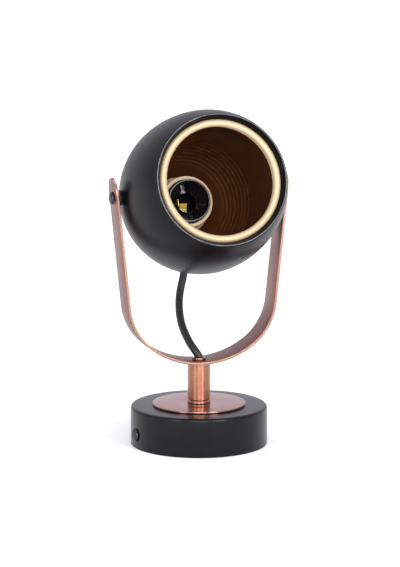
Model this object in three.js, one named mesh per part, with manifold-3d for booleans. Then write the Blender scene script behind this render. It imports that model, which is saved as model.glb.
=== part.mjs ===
// A wall light: a round canopy, a short stem, a U-shaped strap and an egg-shaped shade that
// tilts between the strap's arms. Millimetres, +Z away from the wall, the stem on Z, the
// strap's arms on X and the shade's mouth towards -Y.
import * as THREE from 'three';
import * as BufferGeometryUtils from 'three/addons/utils/BufferGeometryUtils.js';
import Module from 'manifold-3d';

const wasm = await Module();
wasm.setup();

const degree = Math.PI / 180;
const quarterTurn = Math.PI / 2;
const halfTurn = Math.PI;

// Fits that the whole light shares
const seatGap = 0.2;
const turnedSeatGap = 0.3;
const holeClearance = 0.35;
const cutOverrun = 5;
const mergeDistance = 0.0005;

// Numbers of sides and arc steps of round pieces
const bodySides = 40;
const tubeSides = 28;
const boltSides = 16;
const wireSides = 8;
const hexSides = 6;
const edgeSteps = 3;
const headSteps = 3;
const slotSteps = 6;

// Screw heads: the straight part of the rim and the depth of the slot, as shares of the height
const headRimShare = 0.3;
const slotDepthShare = 0.45;

// Canopy: the round housing against the wall
const canopyRadius = 50;
const canopyHeight = 28.5;
const canopyWall = 1;
const canopyEdgeRadius = 2;
const canopyTurn = 7 * degree;
const canopyScrewHeight = 10;
const canopyScrewShankRadius = 2;
const canopyScrewHeadRadius = 5;
const canopyScrewHeadHeight = 2.2;
const canopyScrewShankLength = 9;

// Wall bar: the strip that is screwed to the wall inside the canopy
const wallBarWidth = 18;
const wallBarThickness = 1.5;
const wallBarEarHeight = 17;
const wallSlotLength = 10;
const wallSlotWidth = 4;
const wallSlotInset = 4.5;

// Terminal block on the wall bar
const terminalBlockLength = 14;
const terminalBlockWidth = 17;
const terminalBlockHeight = 10.5;
const terminalBlockStep = 3.5;
const terminalBlockOffset = 18;
const terminalPitch = 10;
const terminalBoreRadius = 1.5;
const terminalScrewRadius = 1.7;
const terminalScrewLength = 4.6;
const blockScrewShankRadius = 1.4;
const blockScrewHeadRadius = 2.7;
const blockScrewHeadHeight = 1.6;

// Earth screw on the wall bar
const earthScrewOffset = 16;
const earthScrewShankRadius = 1.9;
const earthScrewHeadRadius = 3.8;
const earthScrewHeadHeight = 2;
const earthWasherRadius = 4.6;
const earthWasherThickness = 0.9;

// Base disc, foot ring and stem
const discRadius = 34;
const discThickness = 1.6;
const stemRadius = 8.4;
const stemLength = 27.4;
const stemEdge = 0.5;
const footRingHeight = 2;

// Hollow bolt that clamps strap, stem and canopy, with its nut and washer
const boltShankRadius = 4.2;
const boltBoreRadius = 3.4;
const boltHeadRadius = 4.9;
const boltHeadHeight = 1.6;
const boltEdge = 0.35;
const boltTail = 1.5;
const boltNutAcrossFlats = 13;
const boltNutHeight = 4;
const boltWasherRadius = 8;
const boltWasherThickness = 1;

// Cable and its cores
const cableRadius = 2.85;
const coreRadius = 1;
const holderCorePlace = 1.4;
const cordGripRadius = 5.6;
const cordGripHeight = 5;
const cordGripScrewRadius = 1.4;
const cordGripScrewLength = 2.2;
const sheathTail = 1;

// Strap: the U-shaped bracket, described by its outer face
const strapWidth = 23.5;
const strapThickness = 1.7;
const strapBottomAngle = 35.8 * degree;
const strapCornerRadius = 43.7;
const strapArmAngle = 84.15 * degree;
const strapTipAbovePivot = 14.6;
const strapArcSteps = 8;
const strapTipSteps = 10;

// Pivots between strap and shade
const pivotHeight = 184;
const pivotShankRadius = 2;
const pivotHeadRadius = 4.7;
const pivotHeadHeight = 2.4;
const slotWidth = 1.2;
const spacerRadius = 5.8;
const spacerLength = 3.54;
const pivotWasherRadius = 4.5;
const pivotWasherThickness = 0.8;
const pivotNutAcrossFlats = 7;
const pivotNutHeight = 3.2;
const pivotShankTail = 0.4;

// Shade: two half ellipses turned about the mouth axis, measured from the pivot
const shadeTilt = 18.2 * degree;
const shadeRadius = 58.4;
const shadeWall = 0.9;
const shadeWidestAhead = 6.2;
const shadeRearLength = 74.7;
const shadeFrontLength = 98.9;
const shadeRimAhead = 63.6;
const shadeLipWidth = 2.96;
const shadeLipDepth = 3.6;
const shadeLipThickness = 0.9;
const shadeRearSteps = 10;
const shadeFrontSteps = 5;
const shadeInnerFrontSteps = 3;

// Reflector: the spun liner, set off from the shade's inside
const reflectorSideGap = 6.3;
const reflectorRearGap = 3;
const reflectorFrontGap = 2.2;
const reflectorWall = 0.8;
const reflectorHoleRadius = 21;
const reflectorBeadRadius = 2.6;
const reflectorBeadBehindLip = 1.95;
const reflectorBeadSteps = 8;
const reflectorRearSteps = 7;
const reflectorFrontSteps = 3;
const ribCount = 8;
const ribDepth = 0.35;
const ribBandInset = 4.4;
const ribBandWidth = 15;

// Lampholder with its collar and contacts, placed along the mouth axis
const holderStandOff = 8.6;
const holderSkirtRadius = 15.8;
const holderSkirtLength = 12;
const holderBodyRadius = 14.2;
const holderLength = 33;
const holderWall = 1.2;
const holderFunnelDepth = 9;
const holderFunnelBendShare = 0.33;
const holderBoreRadius = 7.3;
const holderBoreDepth = 21;
const holderSlotWidth = 5;
const holderSlotDepth = 3;
const holderSlotTurn = 12 * degree;
const collarRadius = 19;
const collarWall = 1;
const collarFaceStep = 5.5;
const collarFlangeRadius = 22;
const contactWidth = 5.4;
const contactThickness = 0.5;
const contactRise = 3;
const contactReach = 0.6;
const sideContactLength = 12;
const rivetRadius = 1.2;
const rivetHeight = 0.8;
const rivetOffset = 4.9;

// Holder bracket and the screw at the shade's rear
const holderBracketLength = 18;
const holderBracketWidth = 9;
const holderBracketThickness = 1.2;
const holderScrewShankRadius = 1.3;
const holderScrewHeadRadius = 2.2;
const holderScrewHeadHeight = 1.2;
const holderScrewLength = 6;
const holderScrewHoleDepth = 6;
const holderScrewPlace = 5;
const rearScrewShankRadius = 1.9;
const rearScrewHeadRadius = 3.8;
const rearScrewHeadHeight = 2;
const rearScrewTail = 0.4;

// Grommet in the shade's underside
const cableExitInset = 18.5;
const grommetNeckRadius = 4.1;
const grommetFlangeRadius = 5.4;
const grommetFlangeHeight = 1.3;
const grommetNeckLength = 2.05;
const grommetInnerFlangeHeight = 0.8;
const grommetBoreRadius = 3.2;

// Route of the free cable from inside the grommet to the hollow bolt, chosen by hand
const cableRoute = [
  [0, 34.53, 134.03],
  [0, 37.3, 127.7],
  [-0.1, 38.7, 123.9],
  [-0.3, 39.6, 119.6],
  [-1.1, 39.8, 114.8],
  [-2.5, 39, 109.8],
  [-4, 37.2, 104.7],
  [-5.3, 34.5, 99.6],
  [-6.2, 31.1, 94.6],
  [-6.8, 27, 89.8],
  [-7, 22.3, 85.2],
  [-6.7, 17.2, 81],
  [-5.9, 12, 76.9],
  [-4.7, 7.2, 73],
  [-3.3, 3.7, 70.1],
  [-2, 1.5, 67.8],
  [-0.85, 0.35, 65.9],
  [-0.15, 0, 64.3],
];
const cableSteps = 14;

// Routes of the two cores inside the shade: [behind, below] the cable's exit, then round the
// reflector's back at these radii, then [behind, below] the middle of the lampholder's back
const coreRouteFromExit = [
  [-1.93, -2.16],
  [-2.33, -2.76],
  [-1.9, -3.65],
  [-0.9, -4.57],
  [0.4, -5.57],
];
const coreBendRadius = 25;
const coreTurnRadius = 20.5;
const coreOffReflector = 2.2;
const coreRouteToHolder = [
  [2.8, 16],
  [3, 13],
  [1.8, 11.6],
  [0.3, 11.4],
];
const holderCoreSteps = 20;

// Routes of the cores inside the canopy, from the sheath's end, chosen by hand
const liveCoreRoute = [
  [1.5, 0.3, 13.6],
  [2, -0.6, 11.2],
  [4, -2.9, 8],
  [7.4, -4.8, 5.7],
  [11, -5, 5.2],
  [14, -5, 5.2],
];
const neutralCoreRoute = [
  [-0.9, 1.3, 13.6],
  [0, 2.4, 10.8],
  [3.4, 4, 7.4],
  [7.4, 4.9, 5.6],
  [11, 5, 5.2],
  [14, 5, 5.2],
];
const earthCoreRoute = [
  [-0.9, -1.3, 13.6],
  [-1.7, -1.6, 11],
  [-3.6, -1.2, 7.4],
  [-6.2, -0.5, 4.6],
  [-8.8, 0, 3.2],
  [-10.9, 0, 2.9],
];
const canopyCoreSteps = 7;

function closedMesh(geometry) {
  const bare = geometry.clone();
  bare.deleteAttribute('normal');
  bare.deleteAttribute('uv');
  const merged = BufferGeometryUtils.mergeVertices(bare, mergeDistance);
  const corners = merged.index.array;
  const kept = [];
  for (let first = 0; first < corners.length; first += 3) {
    const [a, b, c] = corners.slice(first, first + 3);
    if (a !== b && b !== c && c !== a) kept.push(a, b, c);
  }
  merged.setIndex(kept);
  return merged;
}

function toSolid(geometry) {
  const mesh = closedMesh(geometry);
  const vertProperties = new Float32Array(mesh.attributes.position.array);
  const triVerts = new Uint32Array(mesh.index.array);
  return new wasm.Manifold(new wasm.Mesh({ numProp: 3, vertProperties, triVerts }));
}

function toGeometry(solid) {
  const mesh = solid.getMesh();
  const geometry = new THREE.BufferGeometry();
  geometry.setAttribute('position', new THREE.BufferAttribute(mesh.vertProperties, mesh.numProp));
  geometry.setIndex(new THREE.BufferAttribute(mesh.triVerts, 1));
  geometry.computeVertexNormals();
  return geometry;
}

function cut(geometry, ...tools) {
  const left = tools.reduce((solid, tool) => solid.subtract(toSolid(tool)), toSolid(geometry));
  return toGeometry(left);
}

function join(geometry, ...others) {
  const whole = others.reduce((solid, other) => solid.add(toSolid(other)), toSolid(geometry));
  return toGeometry(whole);
}

function common(geometry, other) {
  return toGeometry(toSolid(geometry).intersect(toSolid(other)));
}

function ellipseArc(radius, centre, reach, from, to, steps) {
  const points = [];
  for (let step = 0; step <= steps; step += 1) {
    const angle = from + ((to - from) * step) / steps;
    points.push([radius * Math.cos(angle), centre + reach * Math.sin(angle)]);
  }
  return points;
}

// A profile of [radius, height] pairs, counterclockwise, turned about +Z
function revolve(profile, sides) {
  const points = profile.map(([radius, height]) => new THREE.Vector2(radius, height));
  const closesOnItself = profile[0][0] > 0;
  if (closesOnItself) points.push(points[0].clone());
  return new THREE.LatheGeometry(points, sides).rotateX(quarterTurn);
}

function cylinder(radius, length, sides) {
  return revolve([[0, 0], [radius, 0], [radius, length], [0, length]], sides);
}

function tube(outerRadius, innerRadius, length, sides) {
  const profile = [[innerRadius, 0], [outerRadius, 0], [outerRadius, length], [innerRadius, length]];
  return revolve(profile, sides);
}

function hexNut(acrossFlats, height, boreRadius) {
  const cornerRadius = acrossFlats / Math.sqrt(3);
  const bore = cylinder(boreRadius, height + 2 * cutOverrun, boltSides).translate(0, 0, -cutOverrun);
  return cut(cylinder(cornerRadius, height, hexSides), bore);
}

// A box that stands on z = 0, centred on the Z axis
function block(length, width, height) {
  return new THREE.BoxGeometry(length, width, height).translate(0, 0, height / 2);
}

// A flat outline in X and Z, drawn through a width along Y
function prismAlongY(outline, width) {
  const shape = new THREE.Shape(outline.map(([x, z]) => new THREE.Vector2(x, z)));
  const geometry = new THREE.ExtrudeGeometry(shape, { depth: width, bevelEnabled: false });
  return geometry.rotateX(quarterTurn).translate(0, width / 2, 0);
}

// An upright slot with round ends, long along X and centred on the Z axis
function roundEndedBar(length, width, height, steps) {
  const straight = length / 2 - width / 2;
  const right = ellipseArc(width / 2, 0, width / 2, -quarterTurn, quarterTurn, steps);
  const left = ellipseArc(width / 2, 0, width / 2, quarterTurn, quarterTurn + halfTurn, steps);
  const corners = [...right.map(([x, y]) => [x + straight, y]), ...left.map(([x, y]) => [x - straight, y])];
  const shape = new THREE.Shape(corners.map(([x, y]) => new THREE.Vector2(x, y)));
  return new THREE.ExtrudeGeometry(shape, { depth: height, bevelEnabled: false });
}

// A screw on Z whose domed, slotted head stands on z = 0 and whose shank goes down
function panScrew(headRadius, headHeight, shankRadius, shankLength) {
  const rimHeight = headHeight * headRimShare;
  const dome = ellipseArc(headRadius, rimHeight, headHeight - rimHeight, 0, quarterTurn, headSteps);
  const shank = [[0, -shankLength], [shankRadius, -shankLength], [shankRadius, 0], [headRadius, 0]];
  const profile = [...shank, ...dome];
  profile[profile.length - 1][0] = 0;
  const slotDepth = headHeight * slotDepthShare;
  const slot = block(2 * headRadius + cutOverrun, slotWidth, slotDepth + cutOverrun);
  return cut(revolve(profile, boltSides), slot.translate(0, 0, headHeight - slotDepth));
}

// A round section drawn along a smooth curve through points
function tubeAlong(points, radius, steps, sides) {
  const curve = new THREE.CatmullRomCurve3(points.map(([x, y, z]) => new THREE.Vector3(x, y, z)));
  const corners = [];
  for (let side = 0; side < sides; side += 1) {
    const angle = (2 * halfTurn * side) / sides;
    corners.push(new THREE.Vector2(radius * Math.cos(angle), radius * Math.sin(angle)));
  }
  const section = new THREE.Shape(corners);
  return new THREE.ExtrudeGeometry(section, { steps, extrudePath: curve, bevelEnabled: false });
}

function material(color, roughness, metalness) {
  return new THREE.MeshStandardMaterial({ color, roughness, metalness });
}

function piece(group, name, geometry, finish) {
  const mesh = new THREE.Mesh(closedMesh(geometry), finish);
  mesh.name = name;
  group.add(mesh);
  return mesh;
}

const blackPaint = () => material(0x1d1d1f, 0.42, 0.1);
const copper = () => material(0xc98162, 0.25, 1);
const goldPaint = () => material(0xe6c385, 0.4, 0.6);
const zincPlate = () => material(0xb4b6b8, 0.35, 1);
const brass = () => material(0xd9a92f, 0.3, 1);
const blackPlastic = () => material(0x101011, 0.2, 0);
const whitePlastic = () => material(0xe4e2da, 0.5, 0);
const blackRubber = () => material(0x151515, 0.7, 0);
const brownJacket = () => material(0x6b3d22, 0.5, 0);
const blueJacket = () => material(0x2f5f9e, 0.5, 0);
const greenJacket = () => material(0x6f9a35, 0.5, 0);

// Heights of the pieces stacked on the stem's axis
const discBase = canopyHeight + seatGap;
const footRingBase = discBase + discThickness + seatGap;
const stemBase = footRingBase + footRingHeight + seatGap;
const strapBottom = stemBase + stemLength + seatGap;
const boltHeadBase = strapBottom + strapThickness + turnedSeatGap;
const boltWasherBase = canopyHeight - canopyWall - seatGap - boltWasherThickness;
const boltNutBase = boltWasherBase - seatGap - boltNutHeight;
const boltEnd = boltNutBase - boltTail;
const cordGripBase = boltEnd - seatGap - cordGripHeight;
const sheathEnd = cordGripBase - sheathTail;

// The cable leans where it leaves the bolt, and the sheath inside the stem ends below its end
const [lastSpot, spotBefore] = [cableRoute.at(-1), cableRoute.at(-2)];
const leanReach = Math.hypot(spotBefore[0] - lastSpot[0], spotBefore[1] - lastSpot[1]);
const cableLean = Math.atan2(leanReach, spotBefore[2] - lastSpot[2]);
const sheathTop = lastSpot[2] - cableRadius * Math.sin(cableLean) - turnedSeatGap;

// Canopy and what it holds

function canopyShell() {
  const innerEdge = canopyEdgeRadius - canopyWall;
  const edgeRadius = canopyRadius - canopyEdgeRadius;
  const edgeHeight = canopyHeight - canopyEdgeRadius;
  const holeRadius = boltShankRadius + holeClearance;
  const outwards = ([radius, height]) => [radius + edgeRadius, height];
  const outerEdge = ellipseArc(canopyEdgeRadius, edgeHeight, canopyEdgeRadius, 0, quarterTurn, edgeSteps);
  const hollowEdge = ellipseArc(innerEdge, edgeHeight, innerEdge, quarterTurn, 0, edgeSteps);
  const profile = [
    [canopyRadius - canopyWall, 0],
    [canopyRadius, 0],
    ...outerEdge.map(outwards),
    [holeRadius, canopyHeight],
    [holeRadius, canopyHeight - canopyWall],
    ...hollowEdge.map(outwards),
  ];
  const holeLength = 2 * (canopyRadius + cutOverrun);
  const screwHoles = cylinder(canopyScrewShankRadius + holeClearance, holeLength, boltSides);
  screwHoles.rotateY(quarterTurn).translate(-holeLength / 2, 0, canopyScrewHeight);
  return cut(revolve(profile, bodySides), screwHoles);
}

const wallBarReach = Math.sqrt((canopyRadius - canopyWall) ** 2 - (wallBarWidth / 2) ** 2) - turnedSeatGap;
const wallSlotPlace = wallBarReach - wallBarThickness - wallSlotInset - wallSlotLength / 2;

function wallBar() {
  const inner = wallBarReach - wallBarThickness;
  const outline = [
    [-wallBarReach, 0],
    [wallBarReach, 0],
    [wallBarReach, wallBarEarHeight],
    [inner, wallBarEarHeight],
    [inner, wallBarThickness],
    [-inner, wallBarThickness],
    [-inner, wallBarEarHeight],
    [-wallBarReach, wallBarEarHeight],
  ];
  const slots = [-1, 1].map((side) => {
    const slot = roundEndedBar(wallSlotLength, wallSlotWidth, wallBarThickness + 2 * cutOverrun, slotSteps);
    return slot.translate(side * wallSlotPlace, 0, -cutOverrun);
  });
  const earHoles = cylinder(canopyScrewShankRadius + holeClearance, 2 * canopyRadius, boltSides);
  earHoles.rotateY(quarterTurn).translate(-canopyRadius, 0, canopyScrewHeight);
  const smallHole = (radius, place) => {
    const hole = cylinder(radius + holeClearance, wallBarThickness + 2 * cutOverrun, boltSides);
    return hole.translate(place, 0, -cutOverrun);
  };
  const earthHole = smallHole(earthScrewShankRadius, -earthScrewOffset);
  const blockHole = smallHole(blockScrewShankRadius, terminalBlockOffset);
  return cut(prismAlongY(outline, wallBarWidth), ...slots, earHoles, earthHole, blockHole);
}

const terminalBlockBase = wallBarThickness + seatGap;
const terminalHeight = terminalBlockBase + terminalBlockStep;
const terminalBlockTop = terminalBlockBase + terminalBlockHeight;
const terminalScrewOffset = terminalBlockOffset - terminalBlockLength / 4;

function terminalBlock() {
  const body = block(terminalBlockLength, terminalBlockWidth, terminalBlockHeight);
  body.translate(terminalBlockOffset, 0, terminalBlockBase);
  const boreLength = terminalBlockLength + 2 * cutOverrun;
  const tools = [-1, 1].flatMap((side) => {
    const place = (side * terminalPitch) / 2;
    const bore = cylinder(terminalBoreRadius, boreLength, boltSides).rotateY(quarterTurn);
    const pocket = cylinder(terminalScrewRadius + holeClearance, terminalBlockHeight, boltSides);
    return [
      bore.translate(terminalBlockOffset - boreLength / 2, place, terminalHeight),
      pocket.translate(terminalScrewOffset, place, terminalHeight),
    ];
  });
  const screwHole = cylinder(blockScrewShankRadius + holeClearance, 2 * terminalBlockTop, boltSides);
  screwHole.translate(terminalBlockOffset, 0, -cutOverrun);
  return cut(body, ...tools, screwHole);
}

function addCanopy(root) {
  const canopyGroup = new THREE.Group();
  canopyGroup.rotation.z = canopyTurn;
  root.add(canopyGroup);
  piece(canopyGroup, 'canopy', canopyShell(), blackPaint());
  piece(canopyGroup, 'wall_bar', wallBar(), zincPlate());
  for (const [side, name] of [[-1, 'canopy_screw_left'], [1, 'canopy_screw_right']]) {
    const screw = panScrew(
      canopyScrewHeadRadius,
      canopyScrewHeadHeight,
      canopyScrewShankRadius,
      canopyScrewShankLength,
    );
    screw.rotateY(side * quarterTurn).translate(side * (canopyRadius + seatGap), 0, canopyScrewHeight);
    piece(canopyGroup, name, screw, blackPaint());
  }
  piece(canopyGroup, 'terminal_block', terminalBlock(), whitePlastic());
  const blockScrew = panScrew(
    blockScrewHeadRadius,
    blockScrewHeadHeight,
    blockScrewShankRadius,
    terminalBlockTop + seatGap - turnedSeatGap,
  );
  blockScrew.translate(terminalBlockOffset, 0, terminalBlockTop + seatGap);
  piece(canopyGroup, 'terminal_block_screw', blockScrew, zincPlate());
  for (const [side, name] of [[-1, 'terminal_screw_live'], [1, 'terminal_screw_neutral']]) {
    const screw = cylinder(terminalScrewRadius, terminalScrewLength, boltSides);
    const screwBase = terminalHeight + coreRadius + turnedSeatGap;
    screw.translate(terminalScrewOffset, (side * terminalPitch) / 2, screwBase);
    piece(canopyGroup, name, screw, brass());
  }
  const earthWasher = tube(
    earthWasherRadius,
    earthScrewShankRadius + holeClearance,
    earthWasherThickness,
    boltSides,
  );
  earthWasher.translate(-earthScrewOffset, 0, wallBarThickness + seatGap);
  piece(canopyGroup, 'earth_washer', earthWasher, zincPlate());
  const earthHeadBase = wallBarThickness + earthWasherThickness + 2 * seatGap;
  const earthScrew = panScrew(
    earthScrewHeadRadius,
    earthScrewHeadHeight,
    earthScrewShankRadius,
    earthHeadBase - turnedSeatGap,
  );
  piece(canopyGroup, 'earth_screw', earthScrew.translate(-earthScrewOffset, 0, earthHeadBase), zincPlate());
  const cores = [
    ['core_live', liveCoreRoute, brownJacket()],
    ['core_neutral', neutralCoreRoute, blueJacket()],
    ['core_earth', earthCoreRoute, greenJacket()],
  ];
  for (const [name, route, jacket] of cores) {
    piece(canopyGroup, name, tubeAlong(route, coreRadius, canopyCoreSteps, wireSides), jacket);
  }
}

// Stem and the hollow bolt that holds it

function stemBody() {
  const bore = boltShankRadius + holeClearance;
  const profile = [
    [bore, 0],
    [stemRadius - stemEdge, 0],
    [stemRadius, stemEdge],
    [stemRadius, stemLength],
    [bore, stemLength],
  ];
  return revolve(profile, tubeSides);
}

function footRing() {
  const bore = boltShankRadius + holeClearance;
  const profile = [
    [bore, 0],
    [stemRadius, 0],
    [stemRadius, footRingHeight - stemEdge],
    [stemRadius - stemEdge, footRingHeight],
    [bore, footRingHeight],
  ];
  return revolve(profile, tubeSides);
}

function hollowBolt() {
  const headTop = boltHeadBase + boltHeadHeight;
  const profile = [
    [boltBoreRadius, boltEnd],
    [boltShankRadius, boltEnd],
    [boltShankRadius, boltHeadBase],
    [boltHeadRadius, boltHeadBase],
    [boltHeadRadius, headTop - boltEdge],
    [boltHeadRadius - boltEdge, headTop],
    [boltBoreRadius, headTop],
  ];
  return revolve(profile, tubeSides);
}

function cordGrip() {
  const body = tube(cordGripRadius, cableRadius + holeClearance, cordGripHeight, boltSides);
  body.translate(0, 0, cordGripBase);
  const hole = cylinder(cordGripScrewRadius + holeClearance, cordGripRadius + cutOverrun, boltSides);
  return cut(body, hole.rotateX(quarterTurn).translate(0, 0, cordGripBase + cordGripHeight / 2));
}

function addStem(root) {
  const boltClear = boltShankRadius + holeClearance;
  const disc = tube(discRadius, boltClear, discThickness, bodySides);
  piece(root, 'base_disc', disc.translate(0, 0, discBase), copper());
  piece(root, 'stem_foot_ring', footRing().translate(0, 0, footRingBase), copper());
  piece(root, 'stem', stemBody().translate(0, 0, stemBase), copper());
  piece(root, 'hollow_bolt', hollowBolt(), copper());
  const washer = tube(boltWasherRadius, boltClear, boltWasherThickness, boltSides);
  piece(root, 'bolt_washer', washer.translate(0, 0, boltWasherBase), zincPlate());
  const nut = hexNut(boltNutAcrossFlats, boltNutHeight, boltClear);
  piece(root, 'bolt_nut', nut.translate(0, 0, boltNutBase), zincPlate());
  piece(root, 'cord_grip', cordGrip(), whitePlastic());
  const gripScrew = cylinder(cordGripScrewRadius, cordGripScrewLength, boltSides).rotateX(quarterTurn);
  const gripScrewPlace = cableRadius + turnedSeatGap;
  gripScrew.translate(0, -gripScrewPlace, cordGripBase + cordGripHeight / 2);
  piece(root, 'cord_grip_screw', gripScrew, zincPlate());
  const sheath = cylinder(cableRadius, sheathTop - sheathEnd, wireSides + wireSides / 2);
  piece(root, 'stem_cable', sheath.translate(0, 0, sheathEnd), blackRubber());
}

// Where the strap's arms pass the shade, as distances along X from the middle of the light

const armLean = quarterTurn - strapArmAngle;
const armThickness = strapThickness / Math.cos(armLean);
const shadeFace = shadeRadius * Math.sqrt(1 - (shadeWidestAhead / shadeRearLength) ** 2);
const spacerPlace = shadeFace + turnedSeatGap;
const armPlaceAtPivot = spacerPlace + spacerLength + seatGap + armThickness;

// The strap's bottom bend is as round as brings the straight arms to their place at the pivots
function bottomRadius() {
  const cornerReach = strapCornerRadius * (Math.sin(strapArmAngle) - Math.sin(strapBottomAngle));
  const cornerRise = strapCornerRadius * (Math.cos(strapBottomAngle) - Math.cos(strapArmAngle));
  const armReach = (pivotHeight - strapBottom - cornerRise) / Math.tan(strapArmAngle);
  const reachPerRadius =
    Math.sin(strapBottomAngle) - (1 - Math.cos(strapBottomAngle)) / Math.tan(strapArmAngle);
  return (armPlaceAtPivot - cornerReach - armReach) / reachPerRadius;
}

// Strap: outline of the U between two offsets inwards from its outer face

const strapBottomRadius = bottomRadius();
const strapCornerPlace = (strapBottomRadius - strapCornerRadius) * Math.sin(strapBottomAngle);
const strapCornerHeight =
  strapBottom + strapBottomRadius - (strapBottomRadius - strapCornerRadius) * Math.cos(strapBottomAngle);
const strapTip = pivotHeight + strapTipAbovePivot;

function strapFace(offset) {
  const points = [];
  for (let step = 0; step <= strapArcSteps; step += 1) {
    const angle = (strapBottomAngle * step) / strapArcSteps;
    const radius = strapBottomRadius - offset;
    points.push([radius * Math.sin(angle), strapBottom + strapBottomRadius - radius * Math.cos(angle)]);
  }
  for (let step = 1; step <= strapArcSteps; step += 1) {
    const angle = strapBottomAngle + ((strapArmAngle - strapBottomAngle) * step) / strapArcSteps;
    const radius = strapCornerRadius - offset;
    points.push([strapCornerPlace + radius * Math.sin(angle), strapCornerHeight - radius * Math.cos(angle)]);
  }
  points.push([armPlace(strapTip, offset), strapTip]);
  return points;
}

// How far an arm's face is from the middle at a height
function armPlace(height, offset) {
  const radius = strapCornerRadius - offset;
  const startPlace = strapCornerPlace + radius * Math.sin(strapArmAngle);
  const startHeight = strapCornerHeight - radius * Math.cos(strapArmAngle);
  return startPlace + (height - startHeight) / Math.tan(strapArmAngle);
}

function strapBlank(outerOffset, innerOffset) {
  const mirrored = (face) => face.map(([x, z]) => [-x, z]).reverse();
  const outer = strapFace(outerOffset);
  const inner = strapFace(innerOffset);
  const outline = [
    ...mirrored(outer).slice(0, -1),
    ...outer,
    ...inner.slice().reverse(),
    ...mirrored(inner).reverse().slice(1),
  ];
  return prismAlongY(outline, strapWidth);
}

function strapBody() {
  const reach = 2 * armPlace(strapTip, 0);
  const sideLength = strapTip - strapBottom + strapWidth;
  const side = roundEndedBar(sideLength, strapWidth, reach, strapTipSteps);
  side.rotateY(-quarterTurn).translate(reach / 2, 0, strapTip - sideLength / 2);
  const pivotHoles = cylinder(pivotShankRadius + holeClearance, reach, boltSides).rotateY(quarterTurn);
  pivotHoles.translate(-reach / 2, 0, pivotHeight);
  const boltHole = cylinder(boltShankRadius + holeClearance, strapThickness + 2 * cutOverrun, tubeSides);
  boltHole.translate(0, 0, strapBottom - cutOverrun);
  return cut(common(strapBlank(0, strapThickness), side), pivotHoles, boltHole);
}

// Pivots, mirrored left and right

const shadeInnerFace =
  (shadeRadius - shadeWall) * Math.sqrt(1 - (shadeWidestAhead / (shadeRearLength - shadeWall)) ** 2);
const pivotHeadPlace = armPlaceAtPivot + pivotHeadRadius * Math.tan(armLean) + seatGap;
const pivotWasherPlace =
  Math.sqrt(shadeInnerFace ** 2 - pivotWasherRadius ** 2) - 2 * turnedSeatGap - pivotWasherThickness;
const pivotNutPlace = pivotWasherPlace - turnedSeatGap - pivotNutHeight;
const pivotShankEnd = pivotNutPlace - pivotShankTail;

function spacer() {
  const length = armPlaceAtPivot - armThickness / 2 - spacerPlace;
  const body = tube(spacerRadius, pivotShankRadius + holeClearance, length, tubeSides);
  body.rotateY(quarterTurn).translate(spacerPlace, 0, pivotHeight);
  return cut(body, strapBlank(-armThickness, strapThickness + seatGap));
}

function mirroredToSide(geometry, side) {
  return side > 0 ? geometry : geometry.rotateZ(halfTurn);
}

function addStrap(root) {
  piece(root, 'strap', strapBody(), copper());
  for (const [side, name] of [[-1, 'left'], [1, 'right']]) {
    const screw = panScrew(
      pivotHeadRadius,
      pivotHeadHeight,
      pivotShankRadius,
      pivotHeadPlace - pivotShankEnd,
    );
    screw.rotateY(quarterTurn).translate(pivotHeadPlace, 0, pivotHeight);
    piece(root, `pivot_screw_${name}`, mirroredToSide(screw, side), blackPaint());
    piece(root, `spacer_${name}`, mirroredToSide(spacer(), side), blackPlastic());
  }
}

// Shade group: +Z along the mouth axis, +Y upwards across it, origin on the pivots

const shadeRimRadius =
  shadeRadius * Math.sqrt(1 - ((shadeRimAhead - shadeWidestAhead) / shadeFrontLength) ** 2);
const shadeLipRadius = shadeRimRadius - shadeLipWidth;

function shadeShell() {
  const rimAngle = Math.asin((shadeRimAhead - shadeWidestAhead) / shadeFrontLength);
  const lipAhead = shadeRimAhead - shadeLipDepth;
  const lipBack = lipAhead - shadeLipThickness;
  const innerRadius = shadeRadius - shadeWall;
  const innerRear = shadeRearLength - shadeWall;
  const innerFront = shadeFrontLength - shadeWall;
  const innerRimAngle = Math.asin((lipBack - shadeWidestAhead) / innerFront);
  const widest = shadeWidestAhead;
  const profile = [
    ...ellipseArc(shadeRadius, widest, shadeRearLength, -quarterTurn, 0, shadeRearSteps),
    ...ellipseArc(shadeRadius, widest, shadeFrontLength, 0, rimAngle, shadeFrontSteps).slice(1),
    [shadeLipRadius, lipAhead],
    [shadeLipRadius, lipBack],
    ...ellipseArc(innerRadius, widest, innerFront, innerRimAngle, 0, shadeInnerFrontSteps),
    ...ellipseArc(innerRadius, widest, innerRear, 0, -quarterTurn, shadeRearSteps).slice(1),
  ];
  profile[0][0] = 0;
  profile[profile.length - 1][0] = 0;
  const pivotHoles = cylinder(pivotShankRadius + holeClearance, 2 * shadeRadius + 2 * cutOverrun, boltSides);
  pivotHoles.rotateY(quarterTurn).translate(-shadeRadius - cutOverrun, 0, 0);
  const rearHole = cylinder(rearScrewShankRadius + holeClearance, 2 * cutOverrun, boltSides);
  rearHole.translate(0, 0, shadeWidestAhead - shadeRearLength - cutOverrun);
  const exitHole = cylinder(grommetNeckRadius + holeClearance, 2 * cutOverrun, boltSides);
  exitHole.translate(0, 0, -cutOverrun);
  return cut(revolve(profile, bodySides), pivotHoles, rearHole, atCableExit(exitHole));
}

const exitBehindWidest = shadeRearLength - cableExitInset;
const exitBehind = exitBehindWidest - shadeWidestAhead;
const exitBelow = shadeRadius * Math.sqrt(1 - (exitBehindWidest / shadeRearLength) ** 2);

// Moves a piece drawn along +Z to the cable's exit, pointing straight out of the shade
function atCableExit(geometry) {
  const slope = Math.atan2(exitBelow / shadeRadius ** 2, exitBehindWidest / shadeRearLength ** 2);
  return geometry.rotateX(halfTurn - slope).translate(0, -exitBelow, -exitBehind);
}

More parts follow.
